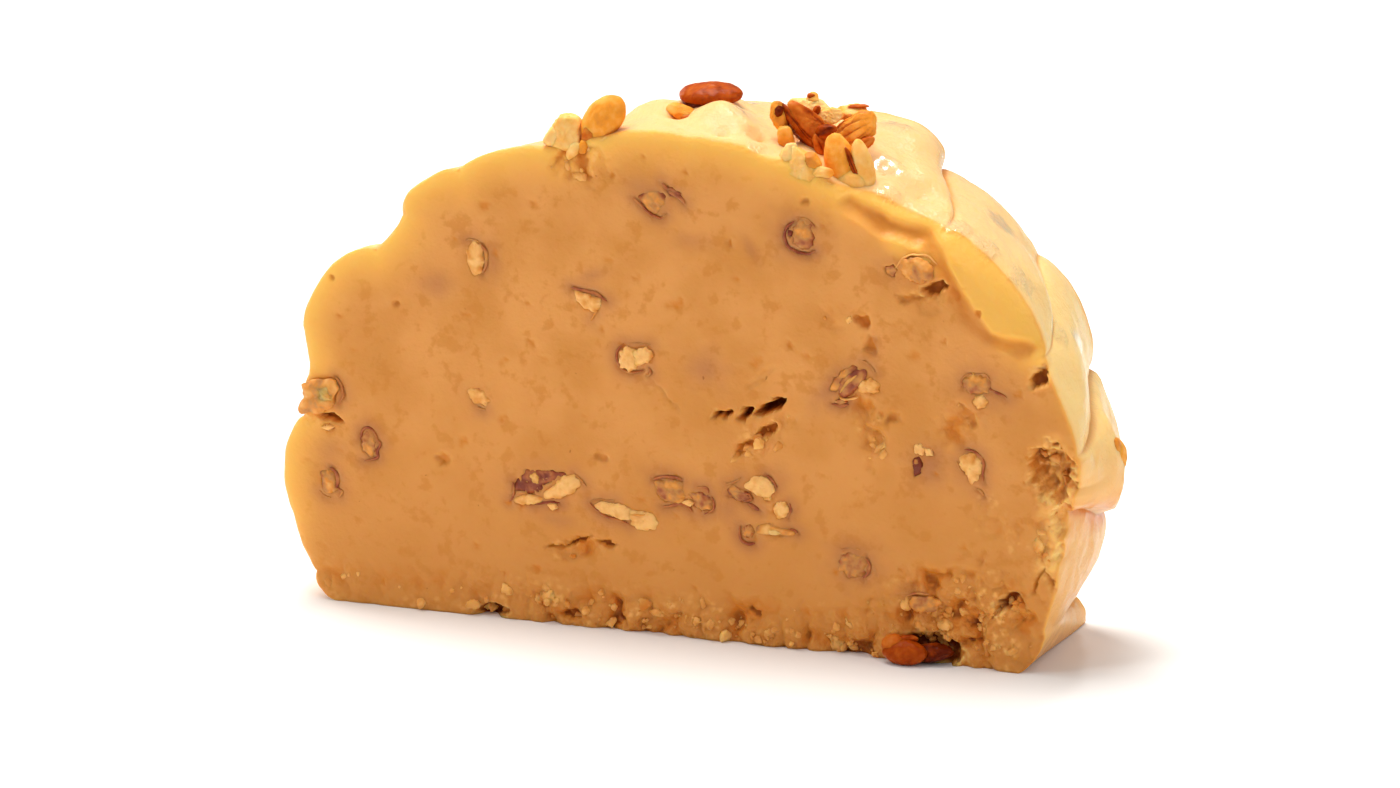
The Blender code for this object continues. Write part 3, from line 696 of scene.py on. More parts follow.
@dataclass
class Relief:
    """How far a cut face lies behind the knife's plane, and how its paste is marked there."""

    pits: tuple[Pit, ...]
    patches: tuple[RoughPatch, ...]
    seats: "Seats"
    layer: float
    torn: bool
    foot_height: float = 8.5
    lump_size: float = 3.5
    lump_depth: float = 3.4
    wave_depth: float = 0.16
    streak_depth: float = 0.05
    groove_width: float = 1.2
    groove_depth: float = 1.3
    roll_reach: float = 5.0
    roll_depth: float = 2.6
    edge_wear: float = 0.9
    wear_reach: float = 1.1
    deep_pit: float = 1.9

    def shoulder(self, x: Array, z: Array) -> tuple[Array, Array]:
        """The rolled shoulder of the torn edge and the groove inside it.

        Args:
            x: places across the face.
            z: heights.

        Returns:
            The depth of each.
        """
        if not self.torn:
            return np.zeros(len(x)), np.zeros(len(x))
        ends = np.clip((x - 22) / 8, 0, 1) * np.clip((z - 46) / 4, 0, 1)
        edge = Skin(step=2.0).profile(0.0)
        edge = edge[(edge > (22.0, 46.0)).all(1)]
        gap = path_distance(x, z, edge)
        roll = self.roll_depth * np.clip(1 - gap / self.roll_reach, 0, 1) ** 2
        wander = 0.6 * LUMPS.smooth(lifted(x, z, 2.0), 4.0)
        line = path_distance(x, z, np.array(SHOULDER_GROOVE)) + wander
        groove = self.groove_depth * np.exp(-((line / self.groove_width) ** 2))
        groove *= 0.75 + 0.5 * LUMPS.smooth(lifted(x, z, 6.0), 5.0)
        swell = 0.7 * np.exp(-(((gap - 4.5) / 2.4) ** 2)) * smooth_share(line, 0.6, 2.0)
        return ends * (roll - swell), ends * groove

    def edge(self, outline: Array) -> Array:
        """How far the face's edge lies behind the knife's plane along its outline."""
        x, z = outline.T
        return self.depth(x, z, np.zeros(len(x)))[0]

    def body(self, x: Array, z: Array) -> Array:
        """The face's broad depth, without pits, crumbs or seats."""
        roll, groove = self.shoulder(x, z)
        return self.wave_depth * GRAIN.smooth(lifted(x, z, self.layer), 19.0) + roll + groove

    def crumbled(self, x: Array, z: Array) -> Array:
        """How crumbled the paste is.

        Args:
            x: places across the face.
            z: heights.

        Returns:
            A share for each point.
        """
        side = 1 if self.torn else -1
        foot = smooth_share(1.15 - z / self.foot_height, 0, 0.8)
        foot *= 0.35 + 0.5 * smooth_share(side * x, -48, -20)
        foot *= 1 + 0.45 * LUMPS.smooth(lifted(x, z, self.layer), (5.0, 5.0, 9.0))
        rough = foot
        for patch in self.patches:
            rough = np.maximum(rough, patch.share(x, z))
        if self.torn:
            groove = path_distance(x, z, np.array(SHOULDER_GROOVE))
            rough = np.maximum(rough, 0.12 * np.exp(-((groove / 1.5) ** 2)))
        return np.clip(rough, 0, 1)

    def depth(self, x: Array, z: Array, inner: Array) -> tuple[Array, dict[str, Array]]:
        """The face's depth behind the knife's plane and its marks.

        Args:
            x: places across the face.
            z: heights.
            inner: distance of each place from the face's outline.

        Returns:
            The depth in millimetres, and the marks that the paste's finish reads.
        """
        at = lifted(x, z, self.layer)
        rough = self.crumbled(x, z)
        warp = 0.9 * np.stack([GRAIN.layered(at, 3.0, 2), 0 * x, GRAIN.layered(at + 50, 3.0, 2)], 1)
        # Lumps of the crumbled paste, taller along the middle of the foot
        tall = 1 + 0.7 * smooth_share(10 - z, 0, 5) * smooth_share(42 - np.abs(x), 0, 8)
        shaped = (at + warp) / np.stack([np.ones(len(x)), np.ones(len(x)), tall], 1)
        near, _ = LUMPS.cells(shaped, (self.lump_size, 9.0, self.lump_size * 1.15))
        fine, _ = GRAIN.cells(at + 0.5 * warp, (1.05, 9.0, 1.1))
        broken = LUMPS.layered(at, 5.2, 4)
        lumps = self.lump_depth * (near**1.6 - 0.22) + 0.5 * (fine - 0.35)
        depth = rough * (lumps + 1.0 * broken)
        # Faint streaks of the knife where the paste is smooth
        turned = at @ np.array([[0.94, 0, -0.34], [0, 1, 0], [0.34, 0, 0.94]])
        depth += self.streak_depth * GRAIN.smooth(turned, (9.0, 9.0, 1.4)) * (1 - rough)
        roll, groove = self.shoulder(x, z)
        torn, deep_painted_shade, golden_and_hollow_shade = np.zeros(len(x)), np.zeros(len(x)), np.zeros(len(x))
        pale_rim = np.zeros(len(x))
        # Pits: ragged walls, a pale lip round the deep ones, and painted shade, golden in the
        # hollow and darker at the bottom
        wall = 1 + 0.22 * GRAIN.layered(at, 1.6, 2) + 0.25 * (fine - 0.4)
        for pit in self.pits:
            share = pit.share(x, z)
            torn = np.maximum(torn, pit.depth * share * wall)
            if pit.depth > self.deep_pit:
                lip = smooth_share(pit.depth * share, 0.1, 0.5)
                lip *= smooth_share(1.7 - pit.depth * share, 0.0, 0.9)
                pale_rim = np.maximum(pale_rim, lip)
            golden_and_hollow_shade = np.maximum(golden_and_hollow_shade, pit.golden_and_hollow_shade * smooth_share(pit.depth * share, 0.3, 1.4))
            deep_painted_shade = np.maximum(deep_painted_shade, pit.dark * smooth_share(share, 0.3, 0.95))
        pore = self.pores(x, z)
        wave = self.wave_depth * GRAIN.smooth(at, 19.0)
        depth = np.maximum(depth + wave + roll + groove, torn) + 0.4 * pore
        sunk, stain = self.seats.sunk(x, z)
        depth = np.maximum(depth, wave + roll + groove + sunk)
        depth += self.edge_wear * np.exp(-inner / self.wear_reach) * np.clip(z / 6, 0.3, 1)
        # What stands up gets pale crumb colour, partly its own and partly a painted highlight, and
        # what lies between gets golden painted shade
        stand = 0.6 - near + 0.35 * (0.45 - fine) - 0.55 * broken
        valley = smooth_share(-stand, 0.0, 0.5)
        crust = smooth_share(stand, 0.28, 0.6) * smooth_share(0.55 - fine, 0.0, 0.3)
        edge = np.zeros(len(x))
        if self.torn:
            edge = rough * smooth_share(x, 55.5, 59.5) * smooth_share(z, 13, 17)
        for spot in STAINS if self.torn else ():
            stain = np.maximum(stain, spot.share(x, z))
        # This golden mark is mostly painted shade: golden in pits, in the valleys between crumbled
        # lumps and in the shoulder groove, darker at pit bottoms; the pores add specks of their own
        # tone
        marks = {
            "amber_tone_and_shade": np.clip(
                np.maximum(golden_and_hollow_shade, rough * (0.15 + 0.64 * valley) * (1 - 0.8 * edge))
                + 0.55 * deep_painted_shade
                + 0.26 * groove
                + 0.4 * pore,
                0,
                1,
            ),
            "crumb": np.clip(0.9 * rough * crust + 0.7 * pale_rim + 0.7 * edge, 0, 1),
            "stain": stain,
            "gloss": np.clip(0.8 * (roll > 0.05) + 0.6 * pore + 0.5 * rough * valley, 0, 1),
            "rough": rough,
        }
        return depth, marks

    def pores(self, x: Array, z: Array) -> Array:
        """Where small bubbles and specks lie.

        Args:
            x: places across the face.
            z: heights.

        Returns:
            A share for each point.
        """
        at = lifted(x, z, self.layer * 3.1)
        near, _ = GRAIN.cells(at + 0.5 * LUMPS.layered(at, 1.3, 2)[:, None], (4.6, 30.0, 4.6))
        size = 0.05 + 0.11 * np.clip(LUMPS.smooth(at, 12.0) + 0.4, 0, 1)
        dents, _ = LUMPS.cells(at + 0.9 * GRAIN.layered(at, 2.0, 2)[:, None], (9.5, 30.0, 7.0))
        wide = 0.14 * np.clip(GRAIN.smooth(at, 9.0) + 0.25, 0, 1)
        pores = smooth_share(size - near, -0.06, 0.04)
        return np.maximum(pores, 0.75 * smooth_share(wide - dents, -0.04, 0.05))


def path_distance(x: Array, z: Array, path: Array) -> Array:
    """Distance of points from a line through a path's corners.

    Args:
        x: the points' X.
        z: their Z.
        path: the corners.

    Returns:
        The distances.
    """
    start, run = path[:-1], path[1:] - path[:-1]
    squares = (run**2).sum(1) + 1e-12
    found = []
    for i in range(0, len(x), AT_ONCE):
        dx, dz = x[i : i + AT_ONCE, None] - start[:, 0], z[i : i + AT_ONCE, None] - start[:, 1]
        share = np.clip((dx * run[:, 0] + dz * run[:, 1]) / squares, 0, 1)
        found.append(np.hypot(dx - share * run[:, 0], dz - share * run[:, 1]).min(1))
    return np.concatenate(found)


def within(points: Array, loop: Array) -> Array:
    """Which points lie inside a closed loop.

    Args:
        points: X and Z, a point a row.
        loop: its corners.

    Returns:
        True for each point inside.
    """
    x1, z1 = np.roll(loop[:, 0], -1), np.roll(loop[:, 1], -1)
    rise = np.where(z1 == loop[:, 1], 1e-9, z1 - loop[:, 1])
    found = []
    for i in range(0, len(points), AT_ONCE):
        x, z = points[i : i + AT_ONCE, 0:1], points[i : i + AT_ONCE, 1:2]
        spans = (loop[:, 1] > z) != (z1 > z)
        cross = spans & (x < (x1 - loop[:, 0]) * (z - loop[:, 1]) / rise + loop[:, 0])
        found.append(cross.sum(1) % 2 == 1)
    return np.concatenate(found)


def filled(loop: Array, inner: Array) -> tuple[Array, Array]:
    """Fills a closed loop with triangles over its own points and those inside it.

    Args:
        loop: the loop's points, X and Z a row.
        inner: points inside the loop.

    Returns:
        The points, the loop's first, and the triangles.
    """
    edges = [(i, (i + 1) % len(loop)) for i in range(len(loop))]
    flat = [Vector(p) for p in np.concatenate([loop, inner])]
    points, _, triangles, *_ = delaunay_2d_cdt(flat, edges, [], 1, 1e-7)
    return np.array([tuple(p) for p in points]), np.array(triangles)


def turn_of(flat: Array, triangles: Array) -> Array:
    """Twice the area of each flat triangle, below zero where it runs clockwise."""
    a, b, c = (flat[triangles[:, i]] for i in range(3))
    return np.cross(b - a, c - a)


@dataclass
class FudgeSlice:
    """The slice of fudge: skin, two cut faces and base in one closed surface."""

    front: Relief
    back: Relief
    skin: Skin = field(default_factory=Skin)
    fine_step: float = 0.38
    coarse_step: float = 0.76
    back_step: float = 0.62
    painted_glow_reach: float = 6.0
    edge_band: float = 2.6
    shoulder_band: float = 13.0

    def face(
        self, outline: Array, relief: Relief, fine: float, coarse: float
    ) -> tuple[Array, Array, Array, dict[str, Array]]:
        """Meshes one cut face inside its outline.

        Args:
            outline: the outline over the top, X and Z a row.
            relief: the face's relief.
            fine: spacing of points where the paste is rough.
            coarse: spacing where it is smooth.

        Returns:
            The flat points, the triangles, the depths and the marks.
        """
        count = round(math.dist(outline[-1], outline[0]) / FOOT_STEP)
        share = np.arange(1, count)[:, None] / count
        foot = outline[-1] * (1 - share) + outline[0] * share
        loop = np.concatenate([outline, foot])
        rows = np.arange(fine, 90, fine * 0.866)
        i, j = np.meshgrid(np.arange(len(rows)), np.arange(int(142 / fine)), indexing="ij")
        grid = np.stack([-70 + (j + (i % 2) / 2) * fine, rows[i]], 2).reshape(-1, 2)
        keep = within(grid, loop)
        grid, i, j = grid[keep], i.ravel()[keep], j.ravel()[keep]
        gap = path_distance(grid[:, 0], grid[:, 1], np.concatenate([loop, loop[:1]]))
        ratio = round(coarse / fine)
        sparse = (i % ratio == 0) & (j % ratio == 0)
        # Close points where the paste is rough, near the edge, in pits and round the pecans
        rough = (relief.crumbled(*grid.T) > 0.1) | (gap < self.edge_band)
        for pit in relief.pits:
            rough |= pit.reach(*grid.T) < 1.6
        for cut in relief.seats.cuts():
            close = np.flatnonzero(relief.seats.near(cut, *grid.T, 1.0))
            rough[close[cut.reach(*grid[close].T) < 1.25]] = True
        if relief.torn:
            rough |= (grid > (25.0, 48.0)).all(1) & (gap < self.shoulder_band)
        grid = grid[(rough | sparse) & (gap > 0.3)]
        flat, triangles = filled(loop, grid)
        inner = path_distance(flat[:, 0], flat[:, 1], np.concatenate([loop, loop[:1]]))
        inner[: len(loop)] = 0
        depth, marks = relief.depth(flat[:, 0], flat[:, 1], inner)
        # Painted light: the rim mark paints a warm glow along each face's upper edge, as if light
        # shone through the paste there, weaker low down and, on the torn face, on the right below
        # the shoulder
        top = path_distance(flat[:, 0], flat[:, 1], outline)
        fade = 0.3 + 0.7 * smooth_share(flat[:, 1], 0, 22)
        if relief.torn:
            fade *= 1 - 0.6 * smooth_share(flat[:, 0], 46, 57) * smooth_share(50 - flat[:, 1], 0, 6)
        marks["rim"] = np.exp(-top / self.painted_glow_reach) * fade
        if relief.torn:
            # The shoulder's smooth band is painted as brightly lit with the same glow
            shoulder_painted_light = smooth_share(8.5 - top, 0, 4) * smooth_share(flat[:, 0], 27, 37)
            shoulder_painted_light *= smooth_share(flat[:, 1], 47, 52)
            marks["rim"] = np.maximum(marks["rim"], shoulder_painted_light)
        return flat, triangles, depth, marks

    def build(self, material: Material) -> Object:
        """Builds the slice.

        Args:
            material: the paste's finish.

        Returns:
            The new object.
        """
        grid = self.skin.grid(self.front, self.back)
        rows, columns = grid.shape[:2]
        points = [grid.reshape(-1, 3)]
        index = np.arange(rows * columns).reshape(rows, columns)
        a, b = index[:-1, :-1].ravel(), index[:-1, 1:].ravel()
        c, d = index[1:, 1:].ravel(), index[1:, :-1].ravel()
        faces = [np.stack([a, d, c], 1), np.stack([a, c, b], 1)]
        total = rows * columns
        edge = np.minimum(np.arange(rows), np.arange(rows)[::-1]) * THICKNESS / rows
        marks = {
            # Painted shade on the skin: golden in its creases and where it faces down
            "amber_tone_and_shade": [self.skin.crease_shade(grid).ravel()],
            "crumb": [np.zeros(total)],
            "stain": [np.zeros(total)],
            "rough": [np.zeros(total)],
            "gloss": [np.ones(total)],
            "wet": [self.skin.wet(grid)],
            # Painted light: a glow painted on the skin next to both cut faces, fading within a few
            # millimetres
            "rim": [np.repeat(0.55 * np.exp(-edge / 2.0), columns)],
            "skin": [np.repeat(smooth_share(edge, -0.1, 0.8), columns)],
        }
        rims = []
        sides = (
            (0, -1, self.front, self.fine_step, self.coarse_step),
            (rows - 1, 1, self.back, self.back_step, self.back_step * 2),
        )
        for row, side, relief, fine, coarse in sides:
            outline = grid[row][:, [0, 2]]
            flat, triangles, depth, face_marks = self.face(outline, relief, fine, coarse)
            inside = slice(columns, None)
            y = side * (THICKNESS / 2 - depth[inside])
            points.append(np.stack([flat[inside, 0], y, flat[inside, 1]], 1))
            own = np.concatenate([index[row], np.arange(total, total + len(flat) - columns)])
            wrong = turn_of(flat, triangles) * side > 0
            triangles[wrong] = triangles[wrong][:, ::-1]
            faces.append(own[triangles])
            total += len(flat) - columns
            for mark, values in marks.items():
                if mark in ("skin", "wet"):
                    values.append(np.zeros(len(flat) - columns))
                else:
                    values.append(face_marks[mark][inside])
            count = round(math.dist(outline[-1], outline[0]) / FOOT_STEP) - 1
            rims.append([own[columns - 1], *own[columns : columns + count], own[0]])
        left = list(index[1:-1, -1])
        right = list(index[1:-1, 0][::-1])
        rim = np.array([*rims[0][::-1], *left, *rims[1], *right])
        everything = np.concatenate(points)
        everything[rim, 2] = 0.0
        base, base_faces = self.base(everything[rim])
        own = np.concatenate([rim, np.arange(total, total + len(base))])
        faces.append(own[base_faces])
        everything = np.concatenate([everything, base])
        for mark, values in marks.items():
            values.append(np.full(len(base), 0.3 if mark == "crumb" else 0.0))
        joined = {mark: np.concatenate(values) for mark, values in marks.items()}
        return mesh_piece("fudge_slice", everything, np.concatenate(faces), joined, material)

    def base(self, rim: Array) -> tuple[Array, Array]:
        """Fills the base inside its rim.

        Args:
            rim: its points.

        Returns:
            The points that it adds, and its triangles.
        """
        x, y = np.meshgrid(np.arange(-60, 61, 1.5), np.arange(-14, 15, 1.5))
        inner = np.stack([x.ravel(), y.ravel()], 1)
        inner = inner[within(inner, rim[:, :2])]
        gap = path_distance(inner[:, 0], inner[:, 1], rim[:, :2])
        inner = inner[gap > 0.8]
        flat, triangles = filled(rim[:, :2], inner)
        wrong = turn_of(flat, triangles) > 0
        triangles[wrong] = triangles[wrong][:, ::-1]
        added = flat[len(rim) :]
        lift = 0.12 * np.clip(GRAIN.layered(lifted(added[:, 0], added[:, 1]), 3.0, 2), 0, 1)
        return np.stack([added[:, 0], added[:, 1], lift], 1), triangles


# Pecans


class Tissue(Enum):
    """What shows on a lump of pecan, as its place on the scale from pale flesh to dark skin."""

    CREAM = 0.0
    FLESH = 0.16
    TOASTED = 0.34
    SMEARED = 0.48
    THIN_SKIN = 0.64
    SKIN = 0.82
    DARK = 1.0


CREAM, FLESH, TOASTED, SMEARED, THIN_SKIN, SKIN, DARK = Tissue


def unit(vector: Triple) -> Array:
    """The direction of a vector."""
    return np.array(vector, float) / np.linalg.norm(vector)


def ball(level: int) -> tuple[Array, Array]:
    """An evenly divided ball.

    Args:
        level: how often it is divided.

    Returns:
        Unit directions and triangles.
    """
    bm = bmesh.new()
    bmesh.ops.create_icosphere(bm, subdivisions=level, radius=1.0)
    points = np.array([tuple(v.co.normalized()) for v in bm.verts])
    faces = np.array([[v.index for v in f.verts] for f in bm.faces])
    bm.free()
    return points, faces


def tube_faces(rings: int, count: int) -> Array:
    """Triangles between rings of points.

    Args:
        rings: how many rings there are.
        count: how many points each has.

    Returns:
        Three point numbers a row.
    """
    start, places = np.arange(rings - 1)[:, None] * count, np.arange(count)
    a, b = (start + places).ravel(), (start + (places + 1) % count).ravel()
    return np.concatenate([np.stack([a, b, b + count], 1), np.stack([a, b + count, a + count], 1)])


BALLS = {level: ball(level) for level in (2, 3, 4, 5)}


@dataclass(frozen=True)
class Lump:
    """One lump of a pecan piece that lies free.

    Args:
        centre: its middle.
        half: half its length, width and thickness.
        along: the direction of its length.
        facing: the direction of its thickness.
        tissue: what shows on it.
        breaks: each broken face's direction, and its distance from the middle.
        ridges: number and depth of its furrows along its length.
        groove: depth of the seam along its back.
        chips: number of small broken faces all round it.
    """

    centre: Triple
    half: Triple
    along: Triple
    facing: Triple
    tissue: Tissue
    breaks: tuple[tuple[float, float, float, float], ...] = ()
    ridges: tuple[int, float] = (0, 0.0)
    groove: float = 0.0
    chips: int = 7

    sharpness = 22.0

    def surface(self) -> Surface:
        """Shapes the lump.

        Returns:
            Points, triangles and places on the tissue scale.
        """
        away, triangles = BALLS[5 if max(self.half) > 2.2 else 4]
        length = unit(self.along)
        thick = unit(self.facing)
        wide = unit(np.cross(thick, length))
        axes = np.stack([length, wide, np.cross(length, wide)], 1)
        half = np.array(self.half)
        reach = 1 / np.sqrt(((away / half) ** 2).sum(1))
        body = away * reach[:, None] / half
        turn = np.arctan2(body[:, 2], body[:, 1])
        slim = 1 - body[:, 0] ** 2
        offset = np.array(self.centre) * 1.7
        furrow = np.zeros(len(away))
        count, deep = self.ridges
        worn = 1.0 if self.chips else 0.4
        if count:
            wave = np.abs(np.cos(count * turn / 2 + 0.6 * body[:, 0] + offset[0]))
            furrow = (1 - wave) ** 2 * slim
            reach *= 1 - deep * furrow
        if self.groove:
            seam = np.abs(turn - math.pi / 2)
            reach *= 1 - self.groove * np.exp(-((seam / 0.3) ** 2)) * slim
        reach *= 1 + 0.14 * worn * GRAIN.smooth(away * 1.3 + offset, 1.0)
        reach *= 1 + 0.07 * worn * GRAIN.layered(away * 3.6 + offset, 1.0, 4)
        world = away @ axes.T
        patches = LUMPS.layered(world * reach[:, None] + offset, 2.6, 2)
        total = (1 / reach) ** self.sharpness
        broken = np.zeros(len(away))
        rng = np.random.default_rng(int(abs(offset).sum() * 1000))
        for _ in range(self.chips):
            way = axes @ (rng.normal(size=3) * (0.5, 1.0, 1.0))
            way /= np.linalg.norm(way)
            extent = np.linalg.norm((axes.T @ way) * half) * rng.uniform(0.72, 0.95)
            total += (np.maximum(world @ way, 0) / extent) ** self.sharpness
        for x, y, z, distance in self.breaks:
            facing = np.maximum(world @ unit((x, y, z)), 0)
            rough = 1 + 0.09 * GRAIN.layered(world * 3.5 + offset, 1.0, 4)
            broken += (facing / (distance * rough)) ** self.sharpness
        share = smooth_share(broken / (total + broken), 0.3, 0.8)
        reach = (total + broken) ** (-1 / self.sharpness)
        skin = self.tissue.value + 0.18 * worn * patches + 0.3 * furrow * (count > 0)
        tone = skin * (1 - share) + np.minimum(skin, 0.12 + 0.14 * patches) * share
        points = world * reach[:, None] + np.array(self.centre)
        return points, triangles, tone


Corners = tuple[tuple[float, float], ...]


@dataclass(frozen=True)
class Cut:
    """A lump of kernel that the knife cut through.

    Args:
        outline: its corners in the cut face.
        tissue: what shows on it.
        rise: how far it stands out of the paste.
        skin: how much darker its edge is.
    """

    outline: Corners
    tissue: Tissue
    rise: float = 0.2
    skin: float = 0.1

    spokes = 72
    rings = (0.0, 0.1, 0.22, 0.34, 0.45, 0.55, 0.64, 0.72, 0.79, 0.85, 0.9, 0.95, 1.0)
    edge_drop = 0.3

    def middle(self) -> Array:
        """The middle of its corners."""
        return np.array(self.outline).mean(0)

    def radii(self) -> Array:
        """Its reach from the middle.

        Returns:
            One value for each spoke.
        """
        corners = np.array(self.outline) - self.middle()
        after = np.roll(corners, -1, 0)
        angle = np.arange(self.spokes) * 2 * math.pi / self.spokes
        way = np.stack([np.cos(angle), np.sin(angle)], 1)
        run = after - corners
        cross = way[:, None, 0] * run[None, :, 1] - way[:, None, 1] * run[None, :, 0]
        cross = np.where(np.abs(cross) < 1e-9, 1e-9, cross)
        reach = (corners[:, 0] * run[:, 1] - corners[:, 1] * run[:, 0])[None] / cross
        share = corners[None, :, 0] * way[:, None, 1] - corners[None, :, 1] * way[:, None, 0]
        share /= cross
        hit = (reach > 0) & (share >= -1e-6) & (share <= 1 + 1e-6)
        radii = np.where(hit, reach, 0).max(1)
        radii = (np.roll(radii, 1) + 2 * radii + np.roll(radii, -1)) / 4
        ring = np.stack([way[:, 0] * 2.0, way[:, 1] * 2.0, np.full(self.spokes, radii.sum())], 1)
        return radii * (1.05 + 0.2 * GRAIN.layered(ring, 1.0, 4))

    def reach(self, x: Array, z: Array) -> Array:
        """How far out each point is, with 1 on the outline.

        Args:
            x: places across the face.
            z: heights.

        Returns:
            The reach of each point.
        """
        dx, dz = x - self.middle()[0], z - self.middle()[1]
        radii = np.append(self.radii(), self.radii()[0])
        place = (np.arctan2(dz, dx) % (2 * math.pi)) * self.spokes / (2 * math.pi)
        return np.hypot(dx, dz) / np.interp(place, np.arange(self.spokes + 1), radii)

    def surface(self, side: int, face: "Relief") -> Surface:
        """Its points, its triangles and its place on the tissue scale at each point.

        Args:
            side: -1 in the front face and 1 in the back one.
            face: the relief of that face.

        Returns:
            Points, triangles and tones.
        """
        angle = np.arange(self.spokes) * 2 * math.pi / self.spokes
        radii, middle = self.radii(), self.middle()
        size = radii.mean()
        sides = ((1.0, 0.5), (0.94, 1.3), (0.7, 2.2), (0.0, 2.6))
        rows = [(s, 0.0) for s in self.rings] + list(sides)
        points, tones = [], []
        for s, sunk in rows:
            x = middle[0] + s * radii * np.cos(angle)
            z = middle[1] + s * radii * np.sin(angle)
            at = lifted(x, z, 4.0)
            dome = 0.13 * size * (1 - s**2)
            wrinkle = 0.16 * GRAIN.layered(at, 1.6, 3) + 0.2 * LUMPS.smooth(at, 2.0)
            drop = self.edge_drop * smooth_share(np.full(len(x), s), 0.72, 1.02)
            height = self.rise + dome + wrinkle * (1 - 0.4 * s) - drop - sunk
            y = side * (THICKNESS / 2 - face.body(x, z) + height)
            points.append(np.stack([x, y, z], 1))
            patch = LUMPS.layered(at + 20, 1.7, 3)
            tone = self.tissue.value + 0.3 * patch - 0.3 * wrinkle
            tones.append(tone + self.skin * smooth_share(np.full(len(x), s), 0.68, 0.95))
        faces = tube_faces(len(rows), self.spokes)
        if side > 0:
            faces = faces[:, ::-1]
        return np.concatenate(points), faces, np.concatenate(tones)


@dataclass(frozen=True)
class Husk:
    """A dark edge of skin that runs along a line in the cut face.

    Args:
        line: its corners.
        width: its width.
        tissue: what shows on it.
        rise: how far it stands out of the paste.
    """

    line: Corners
    width: float = 0.5
    tissue: Tissue = SKIN
    rise: float = 0.1

    sides = 8

    def surface(self, side: int, face: "Relief") -> Surface:
        """Shapes the husk.

        Args:
            side: -1 in the front face and 1 in the back one.
            face: the relief of that face.

        Returns:
            Points, triangles and places on the tissue scale.
        """
        corners = np.array(self.line)
        steps = np.append(0, np.cumsum(np.linalg.norm(np.diff(corners, axis=0), axis=1)))
        count = max(8, int(steps[-1] / 0.2))
        place = np.linspace(0, steps[-1], count)
        path = np.stack([np.interp(place, steps, corners[:, i]) for i in (0, 1)], 1)
        for _ in range(4):
            path[1:-1] = (path[:-2] + 2 * path[1:-1] + path[2:]) / 4
        wander = lifted(*path.T, 12.0)
        path += 0.16 * np.stack([GRAIN.smooth(wander, 1.4), GRAIN.smooth(wander + 40, 1.4)], 1)
        run = np.gradient(path, axis=0)
        run /= np.linalg.norm(run, axis=1)[:, None]
        across = np.stack([-run[:, 1], run[:, 0]], 1)
        t = np.linspace(0, 1, count)
        width = self.width * (0.12 + 0.88 * np.sin(math.pi * t) ** 0.6)
        width *= 1 + 0.45 * GRAIN.smooth(wander + 80, 1.1)
        level = THICKNESS / 2 - face.body(*path.T)
        points = []
        for i in range(self.sides):
            angle = 2 * math.pi * i / self.sides
            aside = path + across * (width / 2 * math.cos(angle))[:, None]
            deep = self.rise - 0.32 + 0.35 * math.sin(angle)
            y = side * (level + deep * np.sin(math.pi * t) ** 0.4)
            points.append(np.stack([aside[:, 0], y, aside[:, 1]], 1))
        ring = np.stack(points, 1).reshape(-1, 3)
        faces = [tube_faces(count, self.sides)]
        last = (count - 1) * self.sides
        for i in range(1, self.sides - 1):
            faces.append(np.array([[0, i + 1, i]]))
            faces.append(np.array([[last, last + i, last + i + 1]]))
        patchy = np.clip(0.5 + 0.7 * LUMPS.layered(ring + 15, 1.8, 2), 0, 1)
        tone = self.tissue.value * (0.66 + 0.34 * patchy)
        return ring, np.concatenate(faces), tone


SlicedPiece = tuple[Cut | Husk, ...]

